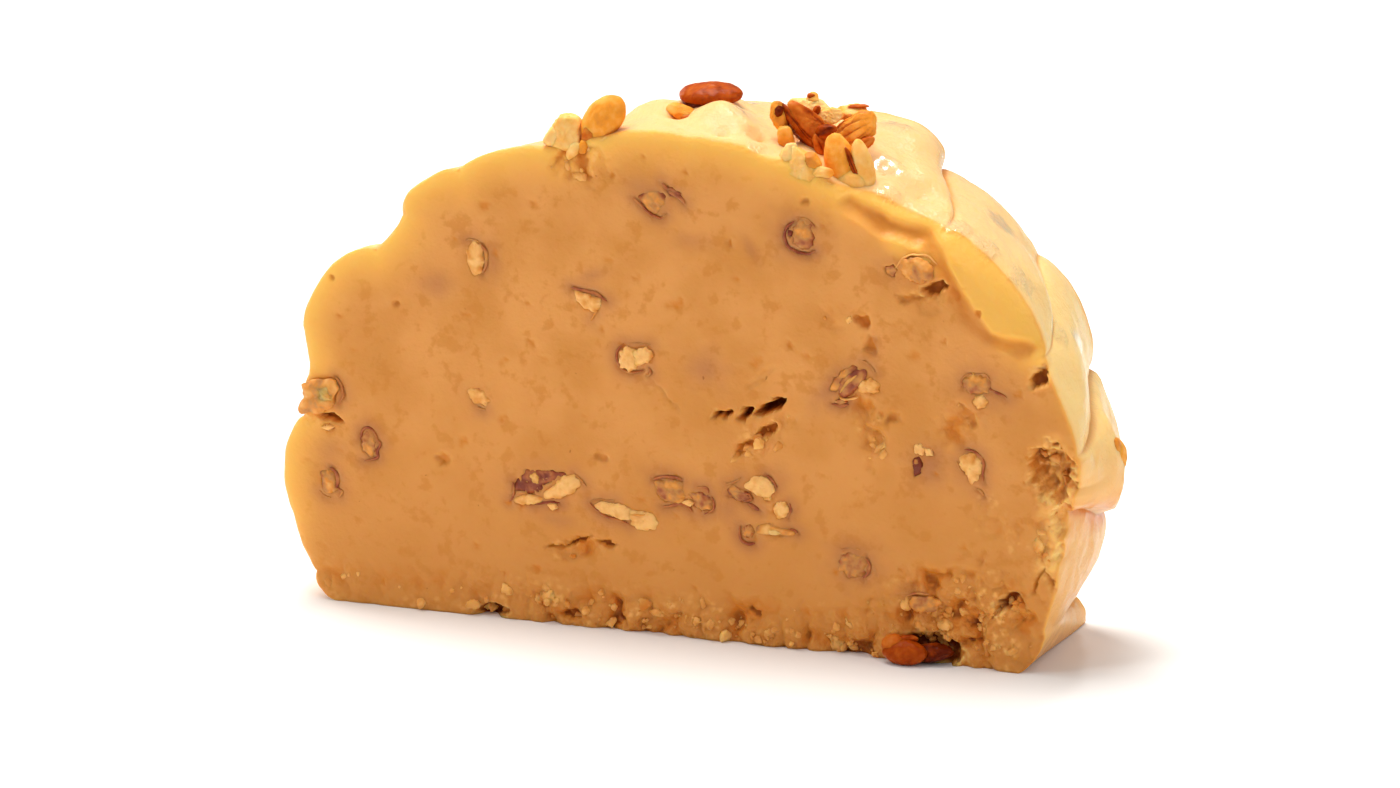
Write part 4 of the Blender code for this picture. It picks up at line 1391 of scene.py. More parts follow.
SLICED_FRONT: dict[str, SlicedPiece] = {
    "pecan_face_01": (
        Cut(((-6.2, 68.9), (-4.6, 70.3), (-2.9, 70.6), (-1.5, 69.6), (-1.9, 67.9), (-3.2, 66.7),
             (-4.8, 67.3)), SMEARED, 0.0),
        Cut(((-1.9, 70.9), (-0.6, 71.0), (0.9, 70.0), (0.2, 69.4), (-1.2, 69.6)), SKIN, -0.15, 0.0),
        Husk(((-2.3, 71.6), (-1.2, 70.4), (0.4, 69.6), (1.4, 68.6)), 0.8, SKIN, -0.05),
        Husk(((-6.9, 69.0), (-5.4, 67.6), (-3.9, 66.5), (-2.4, 66.0), (-1.8, 66.8)),
             0.5, SKIN, 0.05),
    ),
    "pecan_face_02": (
        Cut(((18.6, 66.3), (20.0, 67.4), (21.4, 67.0), (21.9, 65.3), (21.6, 63.6), (20.1, 62.9),
             (18.7, 64.0)), SMEARED, 0.1),
        Cut(((17.7, 66.2), (18.6, 66.0), (18.5, 64.8), (17.8, 64.9)), DARK, -0.2, 0.0),
        Husk(((18.9, 67.2), (17.6, 66.2), (17.2, 64.7), (17.8, 63.3), (19.4, 62.5), (21.0, 62.3),
              (22.3, 62.9)), 0.6, DARK, 0.0),
        Husk(((19.6, 67.8), (20.8, 67.9), (22.2, 66.5)), 0.35, THIN_SKIN, 0.0),
    ),
    "pecan_face_03": (
        Cut(((-34.6, 58.8), (-33.2, 60.1), (-32.1, 59.3), (-31.8, 57.2), (-32.2, 55.2),
             (-33.3, 54.8), (-34.3, 56.4)), FLESH, 0.15, 0.0),
        Husk(((-34.8, 60.2), (-33.3, 60.5), (-32.2, 59.9)), 0.35, THIN_SKIN, 0.05),
        Husk(((-32.1, 59.8), (-31.3, 58.4), (-31.2, 56.9), (-31.9, 55.2)), 0.75, THIN_SKIN, 0.1),
    ),
    "pecan_face_04": (
        Cut(((-16.7, 53.6), (-14.6, 53.5), (-12.5, 52.5), (-12.0, 51.9), (-13.3, 50.8),
             (-15.1, 51.0), (-16.2, 52.2)), FLESH, 0.25, 0.0),
        Husk(((-17.2, 54.1), (-15.3, 53.9), (-13.4, 53.6), (-12.2, 52.9), (-11.2, 52.5)),
             0.55, SKIN, 0.15),
        Husk(((-12.8, 50.8), (-13.4, 50.1), (-14.0, 49.2)), 0.4, SMEARED, 0.0),
    ),
    "pecan_face_05": (
        Cut(((-9.2, 44.6), (-8.2, 45.5), (-6.9, 45.2), (-6.2, 43.9), (-6.6, 42.3), (-7.9, 41.9),
             (-9.1, 42.8)), CREAM, 0.65, 0.15),
        Cut(((-7.0, 45.0), (-5.3, 45.7), (-4.0, 45.3), (-3.8, 44.3), (-5.0, 43.3), (-6.6, 42.9)),
            CREAM, 0.75, 0.1),
        Husk(((-8.6, 46.0), (-9.7, 45.0), (-9.8, 43.4), (-9.0, 42.0), (-7.4, 41.5), (-5.4, 42.0)),
             0.5, SKIN, 0.05),
        Husk(((-7.9, 46.1), (-6.2, 46.2), (-4.2, 46.2)), 0.35, THIN_SKIN, 0.0),
        Husk(((-4.6, 42.6), (-4.1, 41.8), (-4.9, 41.2)), 0.5, THIN_SKIN, 0.0),
    ),
    "pecan_face_06": (
        Cut(((-34.9, 36.0), (-33.6, 36.9), (-31.8, 36.3), (-30.9, 35.0), (-31.6, 34.2),
             (-33.5, 34.4)), FLESH, 0.05, 0.0),
        Husk(((-33.0, 33.9), (-32.2, 33.5), (-31.5, 33.6)), 0.5, THIN_SKIN, 0.0),
    ),
    "pecan_face_07": (
        Cut(((-52.8, 27.6), (-51.7, 28.6), (-50.6, 27.7), (-50.2, 25.8), (-50.9, 24.1),
             (-52.1, 24.3), (-52.7, 25.8)), SMEARED, 0.0),
        Husk(((-53.0, 26.6), (-52.7, 28.3), (-51.6, 29.0), (-50.5, 28.3), (-49.9, 26.9)),
             0.45, SKIN, 0.0),
        Husk(((-50.1, 27.0), (-49.4, 26.3), (-50.2, 25.3), (-49.9, 24.2), (-51.3, 23.6),
              (-52.4, 23.4)), 0.5, SKIN, 0.05),
    ),
    "pecan_face_08": (
        Cut(((-59.7, 20.8), (-58.3, 21.6), (-57.2, 20.2), (-57.1, 18.4), (-58.2, 17.4),
             (-59.7, 17.8)), SMEARED, 0.05, 0.0),
        Husk(((-58.2, 21.9), (-57.3, 21.0), (-56.8, 19.8), (-57.2, 18.5)), 0.8, SKIN, 0.0),
        Husk(((-57.0, 18.6), (-56.1, 18.1), (-56.6, 17.1)), 0.45, THIN_SKIN, 0.05),
        Husk(((-60.1, 17.9), (-59.3, 17.0), (-58.0, 16.9)), 0.35, THIN_SKIN, 0.0),
    ),
    "pecan_face_09": (
        Cut(((-62.3, 35.0), (-60.2, 35.9), (-57.6, 36.2), (-56.2, 34.6), (-57.2, 32.2),
             (-59.7, 30.7), (-62.9, 30.8), (-62.4, 33.0)), TOASTED, 1.1, 0.0),
        Cut(((-59.9, 35.1), (-57.5, 35.3), (-57.4, 33.0), (-59.8, 32.2)), FLESH, 1.3, 0.0),
        Husk(((-57.0, 36.6), (-56.0, 35.3), (-55.6, 33.7), (-56.5, 32.2)), 0.45, THIN_SKIN, 0.35),
        Cut(((-59.6, 28.3), (-58.4, 28.8), (-57.3, 28.5), (-58.3, 27.8)), CREAM, 0.3, 0.0),
    ),
    "pecan_face_10": (
        Cut(((-27.2, 20.9), (-26.6, 23.0), (-25.0, 24.5), (-22.2, 25.0), (-21.2, 23.0),
             (-22.8, 21.0), (-25.0, 20.6)), SKIN, -0.25, 0.1),
        Cut(((-23.2, 24.6), (-20.6, 24.9), (-17.9, 24.6), (-19.8, 23.2), (-22.0, 22.3)),
            SKIN, -0.1, 0.1),
        Cut(((-24.4, 23.9), (-23.5, 24.4), (-22.6, 23.7), (-22.7, 22.5), (-23.9, 22.4)),
            TOASTED, 0.05, 0.3),
        Cut(((-22.4, 20.9), (-20.4, 22.3), (-18.7, 24.2), (-16.9, 24.3), (-15.3, 23.1),
             (-17.0, 21.7), (-19.6, 20.4), (-21.6, 20.0)), CREAM, 0.35, 0.1),
        Cut(((-27.3, 19.3), (-25.4, 20.4), (-23.6, 20.6), (-22.1, 20.1), (-23.2, 19.2),
             (-25.8, 18.8)), FLESH, 0.2, 0.0),
        Cut(((-21.4, 19.4), (-20.3, 19.6), (-19.6, 18.9), (-20.5, 18.4)), CREAM, 0.35, 0.0),
        # A painted shadow: this dark strip lies where shade falls under the cream chunk above it
        Husk(((-23.9, 19.1), (-22.2, 19.4), (-20.6, 19.6), (-19.2, 19.7)), 0.45, DARK, -0.05),
        Husk(((-16.9, 24.6), (-15.6, 23.7), (-14.9, 22.8)), 0.35, THIN_SKIN, 0.05),
        Husk(((-27.7, 19.2), (-26.9, 20.6), (-27.2, 22.4)), 0.5, SKIN, 0.0),
    ),
    "pecan_face_11": (
        Cut(((-13.9, 20.1), (-12.0, 20.6), (-9.6, 20.5), (-7.4, 19.6), (-7.6, 18.0), (-9.8, 18.3),
             (-12.2, 18.8)), CREAM, 0.3, 0.0),
        Cut(((-8.2, 19.8), (-5.6, 19.7), (-3.9, 19.2), (-3.0, 18.0), (-3.7, 16.9), (-5.6, 16.7),
             (-7.3, 17.4)), CREAM, 0.25, 0.05),
        Husk(((-14.4, 20.3), (-12.9, 18.9), (-11.2, 18.1), (-9.4, 18.0), (-7.7, 17.4)),
             0.4, SKIN, 0.1),
        Husk(((-14.2, 20.6), (-12.4, 20.9), (-10.2, 20.9)), 0.28, THIN_SKIN, 0.05),
        Husk(((-7.7, 19.0), (-6.3, 19.1), (-4.9, 19.4)), 0.4, TOASTED, 0.75),
    ),
    "pecan_face_12": (
        Cut(((-3.4, 24.6), (-1.4, 25.2), (0.9, 24.7), (1.4, 22.9), (0.2, 21.5), (-1.9, 21.5),
             (-3.3, 22.8)), SMEARED, 0.15, 0.0),
        Cut(((2.4, 23.2), (4.1, 23.6), (5.6, 22.9), (5.7, 21.3), (4.3, 20.5), (2.9, 21.2)),
            SMEARED, 0.15, 0.1),
        Cut(((0.8, 21.8), (1.9, 22.3), (3.0, 21.9), (2.2, 21.2)), CREAM, 0.45, 0.0),
        Husk(((-3.8, 24.9), (-2.0, 25.6), (-0.3, 25.6), (0.9, 25.2)), 0.55, SKIN, 0.05),
        # A painted shadow: this dark strip lies where shade falls under the two kernels above it
        Husk(((-2.3, 20.8), (-0.8, 21.0), (0.4, 21.6), (1.6, 21.2), (2.6, 20.5)), 0.6, SKIN, 0.0),
        Husk(((3.3, 24.4), (4.8, 24.5), (5.3, 23.6)), 0.4, SKIN, 0.1),
        Husk(((5.7, 23.1), (6.2, 22.0), (5.9, 20.9), (4.5, 20.2)), 0.4, SKIN, 0.1),
    ),
    "pecan_face_13": (
        Cut(((8.1, 24.4), (9.4, 25.3), (10.9, 24.6), (12.3, 23.4), (11.6, 22.7), (9.6, 23.0)),
            THIN_SKIN, 0.1, 0.1),
        Cut(((11.3, 25.4), (12.3, 26.8), (14.0, 27.0), (15.6, 26.1), (15.9, 24.9), (14.4, 24.0),
             (12.5, 24.3)), CREAM, 0.5, 0.0),
        Cut(((14.0, 24.0), (15.3, 24.0), (15.4, 23.4), (14.3, 23.4)), FLESH, 0.2, 0.0),
        Husk(((14.6, 27.4), (15.5, 26.6), (16.2, 25.4)), 0.5, SKIN, 0.05),
        Husk(((8.0, 25.3), (9.6, 25.8), (10.5, 26.6)), 0.35, THIN_SKIN, 0.1),
        Husk(((8.4, 23.6), (9.9, 23.6), (11.3, 23.0), (12.4, 23.2)), 0.55, SKIN, 0.2),
        Husk(((9.4, 24.4), (10.8, 24.1), (12.0, 24.2), (12.2, 23.2)), 0.4, SKIN, 0.3),
        Husk(((11.6, 22.6), (12.6, 22.0), (13.4, 21.6)), 0.7, SKIN, -0.1),
    ),
    "pecan_face_14": (
        Cut(((10.9, 18.8), (11.9, 19.2), (12.7, 18.3), (12.2, 17.2), (11.1, 17.4)),
            THIN_SKIN, 0.3, 0.0),
        Cut(((12.6, 19.2), (15.0, 19.5), (17.4, 19.1), (19.3, 18.9), (18.7, 18.2), (16.0, 18.0),
             (13.6, 17.9)), TOASTED, 0.1, 0.0),
        Cut(((14.8, 18.7), (16.2, 18.9), (17.4, 18.5), (16.4, 18.0), (15.2, 18.0)),
            CREAM, 0.3, 0.0),
        Cut(((16.4, 23.3), (17.7, 23.2), (18.2, 22.0), (17.6, 20.9), (16.4, 20.8), (15.8, 22.0)),
            CREAM, 0.35, 0.0),
        Husk(((10.4, 18.9), (10.1, 17.7), (10.6, 16.6), (11.9, 16.0), (12.9, 16.4)),
             0.55, SKIN, 0.15),
        Husk(((18.2, 23.2), (18.7, 22.0), (18.2, 20.8)), 0.4, SKIN, 0.0),
        Husk(((18.3, 19.1), (19.2, 19.1), (19.8, 18.6)), 0.5, SKIN, 0.1),
    ),
    "pecan_face_15": (
        Cut(((26.0, 41.7), (26.9, 43.7), (28.7, 45.0), (30.3, 45.3), (30.4, 43.9), (29.0, 42.0),
             (27.4, 40.6)), THIN_SKIN, 0.35, 0.1),
        Cut(((29.3, 43.4), (31.0, 43.9), (32.6, 43.0), (32.4, 41.9), (30.6, 41.6), (29.0, 41.9)),
            FLESH, 0.3, 0.15),
        Cut(((24.2, 41.2), (25.4, 43.4), (27.0, 45.0), (29.0, 46.0), (29.4, 45.2), (27.2, 43.6),
             (25.8, 41.2)), SMEARED, -0.05, 0.1),
        Cut(((25.2, 39.9), (26.8, 40.5), (27.6, 39.9), (26.2, 39.3)), SMEARED, 0.0, 0.1),
        Husk(((24.9, 39.5), (26.4, 39.2), (27.9, 39.6)), 0.6, SKIN, -0.05),
        Husk(((26.4, 41.3), (27.7, 43.2), (29.4, 44.6)), 0.6, TOASTED, 0.7),
        Husk(((26.2, 40.6), (27.4, 40.2), (28.6, 40.7), (29.4, 40.9)), 0.5, FLESH, 0.3),
        Husk(((29.8, 46.6), (31.2, 46.0), (31.9, 44.8)), 0.5, THIN_SKIN, -0.05),
    ),
    "pecan_face_16": (
        Cut(((38.2, 34.2), (39.3, 34.6), (40.0, 33.7), (39.4, 32.7), (38.2, 33.0)),
            CREAM, 0.2, 0.0),
        Cut(((39.8, 34.0), (40.9, 33.9), (41.1, 32.9), (40.1, 32.6)), CREAM, 0.1, 0.0),
        Cut(((37.9, 32.2), (39.1, 32.5), (39.6, 31.1), (39.2, 29.7), (38.2, 29.4), (37.9, 30.8)),
            DARK, -0.05, 0.0),
        Cut(((38.2, 32.1), (38.9, 32.1), (39.0, 31.4), (38.3, 31.3)), THIN_SKIN, 0.15, 0.0),
    ),
    "pecan_face_17": (
        Cut(((45.3, 32.9), (46.8, 33.7), (48.2, 33.3), (48.8, 31.6), (48.4, 29.7), (47.4, 28.8),
             (46.6, 30.2), (45.6, 31.4)), FLESH, 0.2, 0.0),
        Husk(((46.0, 34.3), (47.4, 34.2), (48.6, 33.5), (49.2, 32.2), (49.0, 30.6), (49.2, 29.4)),
             0.5, SKIN, 0.0),
        Husk(((44.9, 32.4), (45.3, 31.3), (46.1, 30.6)), 0.35, THIN_SKIN, 0.0),
        Husk(((48.0, 28.4), (48.8, 28.0), (49.3, 27.2)), 0.5, THIN_SKIN, 0.0),
    ),
    "pecan_face_18": (
        Cut(((45.6, 45.1), (47.3, 46.1), (49.3, 45.7), (50.3, 44.4), (49.4, 43.2), (47.0, 42.9),
             (45.7, 43.9)), SMEARED, 0.05, 0.0),
        Cut(((47.6, 42.6), (48.9, 42.9), (49.8, 42.0), (49.2, 40.9), (47.9, 40.8), (47.2, 41.6)),
            FLESH, 0.15, 0.0),
        Husk(((45.7, 43.6), (45.4, 45.0), (46.5, 46.2), (47.9, 45.9), (49.2, 46.2), (50.0, 45.4)),
             0.35, THIN_SKIN, 0.05),
        Husk(((49.8, 44.0), (51.1, 43.3), (52.7, 42.7)), 0.5, SKIN, 0.0),
    ),
    "pecan_face_19": (
        Cut(((35.6, 61.8), (36.9, 63.2), (39.0, 63.2), (40.7, 61.9), (40.8, 60.2), (39.3, 59.3),
             (37.0, 60.0)), TOASTED, 0.75, 0.05),
        Husk(((35.0, 61.2), (35.9, 62.8), (37.6, 63.7), (39.8, 63.3), (41.2, 62.1)),
             0.4, FLESH, 0.1),
        Cut(((33.2, 61.3), (34.5, 61.8), (35.4, 60.9), (34.6, 59.8), (33.4, 60.1)),
            THIN_SKIN, -0.25, 0.0),
    ),
    "pecan_face_20": (
        Cut(((26.2, 15.4), (27.9, 16.7), (30.0, 16.3), (30.9, 14.7), (30.1, 12.9), (28.0, 12.2),
             (26.3, 13.3)), SMEARED, -0.05, 0.0),
        Husk(((30.7, 15.9), (31.3, 14.8), (31.1, 13.5), (30.2, 12.5)), 0.6, SKIN, 0.0),
        Husk(((26.6, 16.7), (28.2, 17.2), (29.9, 17.0)), 0.3, THIN_SKIN, 0.0),
    ),
    "pecan_face_21": (
        Cut(((37.2, 9.0), (38.4, 10.3), (40.7, 10.6), (42.4, 9.9), (41.8, 8.7), (39.4, 8.1)),
            SMEARED, 0.3, 0.0),
        Husk(((37.0, 10.4), (38.8, 11.0), (41.0, 11.0)), 0.35, THIN_SKIN, 0.0),
    ),
}


def moved(piece: SlicedPiece, place: Array, reach: float, turn: float) -> SlicedPiece:
    """A sliced pecan like another one, mirrored and put in another place.

    Args:
        piece: the pecan that it is like.
        place: its middle in the face.
        reach: how far its farthest corner lies from there.
        turn: how far it is turned, in radians.

    Returns:
        The new piece's parts.
    """
    corners = [np.array(part.outline if isinstance(part, Cut) else part.line) for part in piece]
    joined = np.concatenate(corners)
    middle = (joined.min(0) + joined.max(0)) / 2
    size = reach / np.linalg.norm(joined - middle, axis=1).max()
    way = size * np.array([[-math.cos(turn), math.sin(turn)], [math.sin(turn), math.cos(turn)]])
    parts = []
    for part, ends in zip(piece, corners):
        shape = tuple(map(tuple, (ends - middle) @ way + place))
        corner_field = "outline" if isinstance(part, Cut) else "line"
        parts.append(replace(part, **{corner_field: shape}))
    return tuple(parts)


def sliced_back() -> dict[str, SlicedPiece]:
    """The sliced pecans of the back face, set out like a sunflower's seeds.

    Returns:
        Each piece's parts by its name.
    """
    models = ("05", "13", "02", "12", "17", "11", "15", "14", "03", "10", "18")
    pieces = {}
    for i in range(11):
        out, angle = math.sqrt((i + 0.6) / 11), i * math.radians(137.5)
        x, z = -1.0 + 50.0 * out * math.cos(angle), 36.0 + 31.0 * out * math.sin(angle)
        reach = 1.25 * (2.6 + 1.7 * ((i * 0.37) % 1))
        turn = math.radians((i * 67) % 180)
        model = SLICED_FRONT[f"pecan_face_{models[i]}"]
        pieces[f"pecan_back_{i + 1:02d}"] = moved(model, np.array([x, z]), reach, turn)
    return pieces


SLICED_BACK = sliced_back()

FRONT, UP = (0.0, -1.0, 0.15), (0.0, -0.2, 1.0)

LOOSE: dict[str, tuple[Lump, ...]] = {
    "pecan_cap": (
        Lump((-0.1, 0.4, 82.6), (5.1, 3.4, 1.7), (1, 0.05, 0.02), (0.03, -0.16, 1), SKIN, chips=0),
        Lump((-1.1, -0.4, 81.0), (3.2, 2.2, 1.2), (1, 0.05, -0.1), UP, DARK, chips=0),
    ),
    "pecan_under_cap": (
        Lump((-3.4, -3.6, 80.5), (2.5, 1.6, 0.6), (1, 0, -0.32), (0.15, -0.75, 1), TOASTED),
        Lump((-2.2, -4.1, 79.7), (1.5, 0.8, 0.6), (1, 0, -0.1), (0.1, -0.6, 1), THIN_SKIN),
    ),
    "pecan_left_chunk": (
        Lump(
            (-18.8, -12.6, 77.8), (4.1, 3.4, 2.7), (0.5, 0, 1), FRONT, FLESH,
            (
                (0.05, 0, 1, 2.6), (-0.8, -0.1, 0.6, 2.3), (-0.7, 0, -0.7, 3.0),
                (1, -0.1, 0.1, 2.7),
                (0.1, -1, 0.15, 1.7), (-0.55, -0.8, 0.1, 1.9), (0.2, 0.1, -1, 2.9),
            ),
        ),
        Lump((-18.2, -13.3, 80.1), (1.7, 0.6, 0.2), (1, 0, -0.02), UP, THIN_SKIN),
        Lump((-20.9, -13.0, 77.1), (1.6, 1.5, 1.9), (0.3, 0, 1),
             FRONT, CREAM, ((-0.9, -0.3, 0.6, 1.0),)),
        Lump((-17.0, -13.8, 75.3), (1.8, 1.0, 1.1), (0.6, 0, 1), FRONT, FLESH),
        Lump((-15.6, -13.9, 76.0), (1.2, 0.9, 0.9), (0.3, 0, 1), FRONT, TOASTED),
    ),
    "pecan_left_oval": (
        Lump((-12.8, -12.4, 80.3), (4.5, 2.8, 2.2), (0.69, 0, 0.73), FRONT, TOASTED, chips=0),
        Lump((-14.5, -13.3, 78.0), (1.7, 1.4, 1.2), (0.7, 0, 0.7), FRONT, THIN_SKIN),
        Lump((-12.3, -13.9, 77.2), (1.3, 0.7, 0.6), (0.9, 0, 0.5), FRONT, FLESH),
    ),
    "pecan_dark_plate": (
        Lump((16.5, -6.6, 79.9), (4.9, 1.8, 0.75), (0.65, 0, -0.76), (-0.6, -0.75, -0.2),
             SKIN, ridges=(5, 0.1)),
        Lump((18.6, -6.7, 80.6), (4.6, 1.9, 0.75), (0.72, 0, -0.7), (0.3, -0.7, 0.65),
             THIN_SKIN, ridges=(3, 0.08)),
        Lump((21.2, -7.4, 79.7), (1.9, 1.3, 0.8), (0.9, 0, 0.4), (0.2, -0.9, 0.3),
             SKIN, ridges=(4, 0.1)),
        Lump((20.3, -7.7, 77.6), (1.9, 0.9, 0.7), (0.3, 0, -1), FRONT, THIN_SKIN, ridges=(3, 0.1)),
        Lump((13.4, -6.3, 81.5), (2.5, 1.5, 1.3), (0.25, 0, -1), (-0.3, -1, 0.2), TOASTED),
        Lump((13.8, -7.4, 82.4), (1.1, 0.8, 0.45), (0.3, 0, 1), FRONT, DARK),
        Lump((15.2, -8.2, 78.4), (2.1, 1.5, 1.3), (0.4, 0, -1), (-0.2, -1, 0), TOASTED),
    ),
    "pecan_back_chunk": (
        Lump(
            (16.9, -2.0, 81.8), (3.6, 2.4, 2.0), (1, 0, -0.12), (0, -0.4, 1), CREAM,
            ((-0.35, -0.8, 0.5, 1.5), (0.45, -0.7, 0.6, 1.6), (0, 0, 1, 1.5)),
        ),
        Lump((17.3, -1.8, 83.2), (1.3, 1.2, 0.9), (0.4, 0, 1), FRONT, FLESH),
        Lump((17.0, -2.2, 84.0), (0.65, 0.5, 0.35), (1, 0, 0), UP, SKIN),
        Lump((18.4, -3.5, 82.0), (0.9, 0.6, 0.5), (0.5, 0, 1), FRONT, SKIN),
        Lump((20.3, -2.7, 81.1), (2.4, 1.6, 1.3), (1, 0, 0.1), UP, FLESH, ((0.2, -0.9, 0.4, 1.0),)),
    ),
    "pecan_ridged": (
        Lump((24.6, -3.0, 79.3), (4.5, 2.6, 1.5), (0.87, 0, 0.49), (0.2, -0.8, 0.55),
             TOASTED, ridges=(11, 0.2)),
        Lump((22.9, -0.6, 81.6), (3.0, 1.6, 1.1), (1, 0, 0.15), UP, FLESH, ((0, -0.6, 1, 0.8),)),
        Lump((24.2, -0.8, 82.6), (1.9, 0.6, 0.26), (1, 0, 0.08), UP, THIN_SKIN),
        Lump((26.3, -4.4, 77.6), (1.8, 1.0, 0.8), (0.8, 0, 0.5), FRONT, THIN_SKIN, ridges=(5, 0.1)),
    ),
    "pecan_lobe": (
        Lump((24.6, -9.8, 75.2), (5.0, 2.4, 2.2), (0.3, 0, -1), FRONT, TOASTED, chips=0),
        Lump((27.9, -9.4, 75.2), (4.2, 1.6, 1.8), (0.28, 0, -1), FRONT, FLESH, chips=0),
        Lump((26.0, -10.4, 72.8), (2.7, 2.1, 1.7), (1, 0, 0.25), (0, -1, -0.2), FLESH, chips=0),
        Lump((26.7, -10.9, 75.6), (3.1, 0.5, 0.6), (0.42, 0, -1), FRONT, SKIN, ridges=(5, 0.15)),
    ),
    "pecan_star_chunk": (
        Lump(
            (18.9, -13.0, 75.3), (4.1, 3.1, 1.9), (0.8, 0, -0.5), FRONT, FLESH,
            ((0, -1, 0.15, 1.5), (-0.5, -0.8, 0.3, 1.7), (0.5, -0.8, 0.4, 1.9)),
        ),
        Lump((17.4, -12.9, 77.0), (1.9, 1.4, 1.2), (0.3, 0, 1), FRONT, CREAM),
        Lump((22.3, -13.1, 74.6), (2.4, 1.1, 1.0), (1, 0, 0.1), FRONT, FLESH),
        Lump((22.3, -13.3, 73.1), (2.3, 0.9, 0.8), (1, 0, -0.15), FRONT, FLESH),
        Lump((16.4, -13.3, 75.3), (2.2, 1.1, 0.8), (1, 0, 0.2), FRONT, FLESH),
        Lump((18.9, -13.7, 73.3), (2.7, 1.2, 1.0), (1, 0, -0.1), FRONT, FLESH),
        Lump((21.2, -13.2, 76.2), (1.9, 1.2, 0.8), (0.6, 0, -0.8), (0.5, -0.8, 0.5), SMEARED),
    ),
    "pecan_foot": (
        Lump((37.4, -16.2, 1.9), (3.6, 2.0, 1.75), (1, 0, 0.04), FRONT, SKIN, chips=0),
        Lump((35.5, -15.8, 2.9), (1.9, 1.6, 1.5), (1, 0, 0.3), FRONT, THIN_SKIN, chips=0),
        # Painted shade: a dark lump set in the shaded cavity beside the bulb
        Lump((41.2, -14.5, 1.9), (3.4, 1.6, 1.8), (1, 0, 0), FRONT, DARK),
        Lump((37.6, -15.6, 3.9), (1.9, 0.8, 0.6), (1, 0, 0.2), FRONT, SKIN),
    ),
    "pecan_side": (
        Lump((64.1, 0.6, 30.4), (3.6, 3.0, 2.6), (0.35, 0.2, 1), (1, -0.3, 0.2), TOASTED, chips=0),
        Lump((64.9, -0.6, 32.4), (2.0, 1.8, 1.3), (0.2, 0.2, 1), (1, -0.3, 0.3), SMEARED, chips=0),
    ),
    "pecan_left_side": (
        Lump((-61.6, 5.0, 45.5), (4.3, 3.0, 2.2), (0.2, 0.3, 1), (-1, 0.1, 0.3),
             THIN_SKIN, ridges=(9, 0.14), groove=0.15),
    ),
    "pecan_left_belly": (
        Lump((-64.2, -1.0, 16.5), (3.9, 2.9, 2.2), (0.1, 0.4, 1), (-1, 0, 0),
             TOASTED, ridges=(5, 0.08), groove=0.15),
    ),
    "pecan_left_top": (
        Lump(
            (-46.0, 9.0, 60.6), (4.0, 3.0, 2.4), (0.6, 0.5, 0.6), (-0.6, 0, 0.8), SKIN,
            ((-0.5, 0.4, 1, 1.6),), ridges=(7, 0.1),
        ),
    ),
}


@dataclass
class Seats:
    """The hollows that hold the sliced pecans, and the stain that each one leaves around it."""

    pieces: dict[str, SlicedPiece]
    hollow: float = 0.9
    stain_reach: float = 1.8

    def cuts(self) -> list[Cut]:
        """Every kernel that the knife cut."""
        return [part for piece in self.pieces.values() for part in piece if isinstance(part, Cut)]

    def near(self, cut: Cut, x: Array, z: Array, margin: float) -> Array:
        """Which points lie within a margin of a cut kernel."""
        return np.hypot(x - cut.middle()[0], z - cut.middle()[1]) < cut.radii().max() + margin

    def sunk(self, x: Array, z: Array) -> tuple[Array, Array]:
        """The hollows under the sliced pecans.

        Args:
            x: places across the face.
            z: heights.

        Returns:
            How deep they are, and how stained the paste is there.
        """
        depth, stain = np.zeros(len(x)), np.zeros(len(x))
        for cut in self.cuts():
            at = self.near(cut, x, z, 5.0)
            if not at.any():
                continue
            reach = cut.reach(x[at], z[at])
            smear = LUMPS.layered(lifted(x[at], z[at], 21.0), 1.7, 3)
            bare = smooth_share(smear, -0.3, 0.12)
            sunk = self.hollow * bare * smooth_share(1.04 - reach, 0.0, 0.26)
            depth[at] = np.maximum(depth[at], sunk)
            gap = np.clip(reach - 1, 0, None) * cut.radii().mean()
            strength = 0.06 + 0.16 * cut.tissue.value
            stain[at] = np.maximum(stain[at], strength * np.exp(-((gap / self.stain_reach) ** 2)))
        for piece in self.pieces.values():
            for husk in piece:
                if isinstance(husk, Husk):
                    path = np.array(husk.line)
                    at = np.hypot(x - path.mean(0)[0], z - path.mean(0)[1]) < 8
                    if not at.any():
                        continue
                    gap = path_distance(x[at], z[at], path)
                    groove = min(0.42, 0.75 * husk.width)
                    groove *= smooth_share(husk.width * 0.5 + 0.25 - gap, 0.0, 0.35)
                    depth[at] = np.maximum(depth[at], groove)
                    if husk.tissue.value > TOASTED.value:
                        reach = self.stain_reach * 0.8
                        strength = 0.62 * husk.tissue.value * np.exp(-((gap / reach) ** 2))
                        stain[at] = np.maximum(stain[at], strength)
        return depth, stain


class Pecans:
    """All the pecan pieces."""

    def piece(self, name: str, surfaces: list[Surface], material: Material) -> Object:
        """Joins a piece's lumps into one object.

        Args:
            name: the piece's name.
            surfaces: its lumps' points, triangles and tones.
            material: the pecan's finish.

        Returns:
            The new object.
        """
        points, faces, tones, count = [], [], [], 0
        for surface, triangles, tone in surfaces:
            surface[:, 2] = np.maximum(surface[:, 2], 0.06)
            points.append(surface)
            faces.append(triangles + count)
            tones.append(tone)
            count += len(surface)
        marks = {"tissue": np.concatenate(tones)}
        return mesh_piece(name, np.concatenate(points), np.concatenate(faces), marks, material)

    def sliced(
        self, name: str, parts: SlicedPiece, side: int, face: Relief, material: Material
    ) -> Object:
        """A piece that the knife cut, on one side of the slice."""
        surfaces = [part.surface(side, face) for part in parts]
        return self.piece(name, surfaces, material)

    def loose(self, name: str, lumps: tuple[Lump, ...], material: Material) -> Object:
        """A piece that stands free of the paste."""
        return self.piece(name, [lump.surface() for lump in lumps], material)


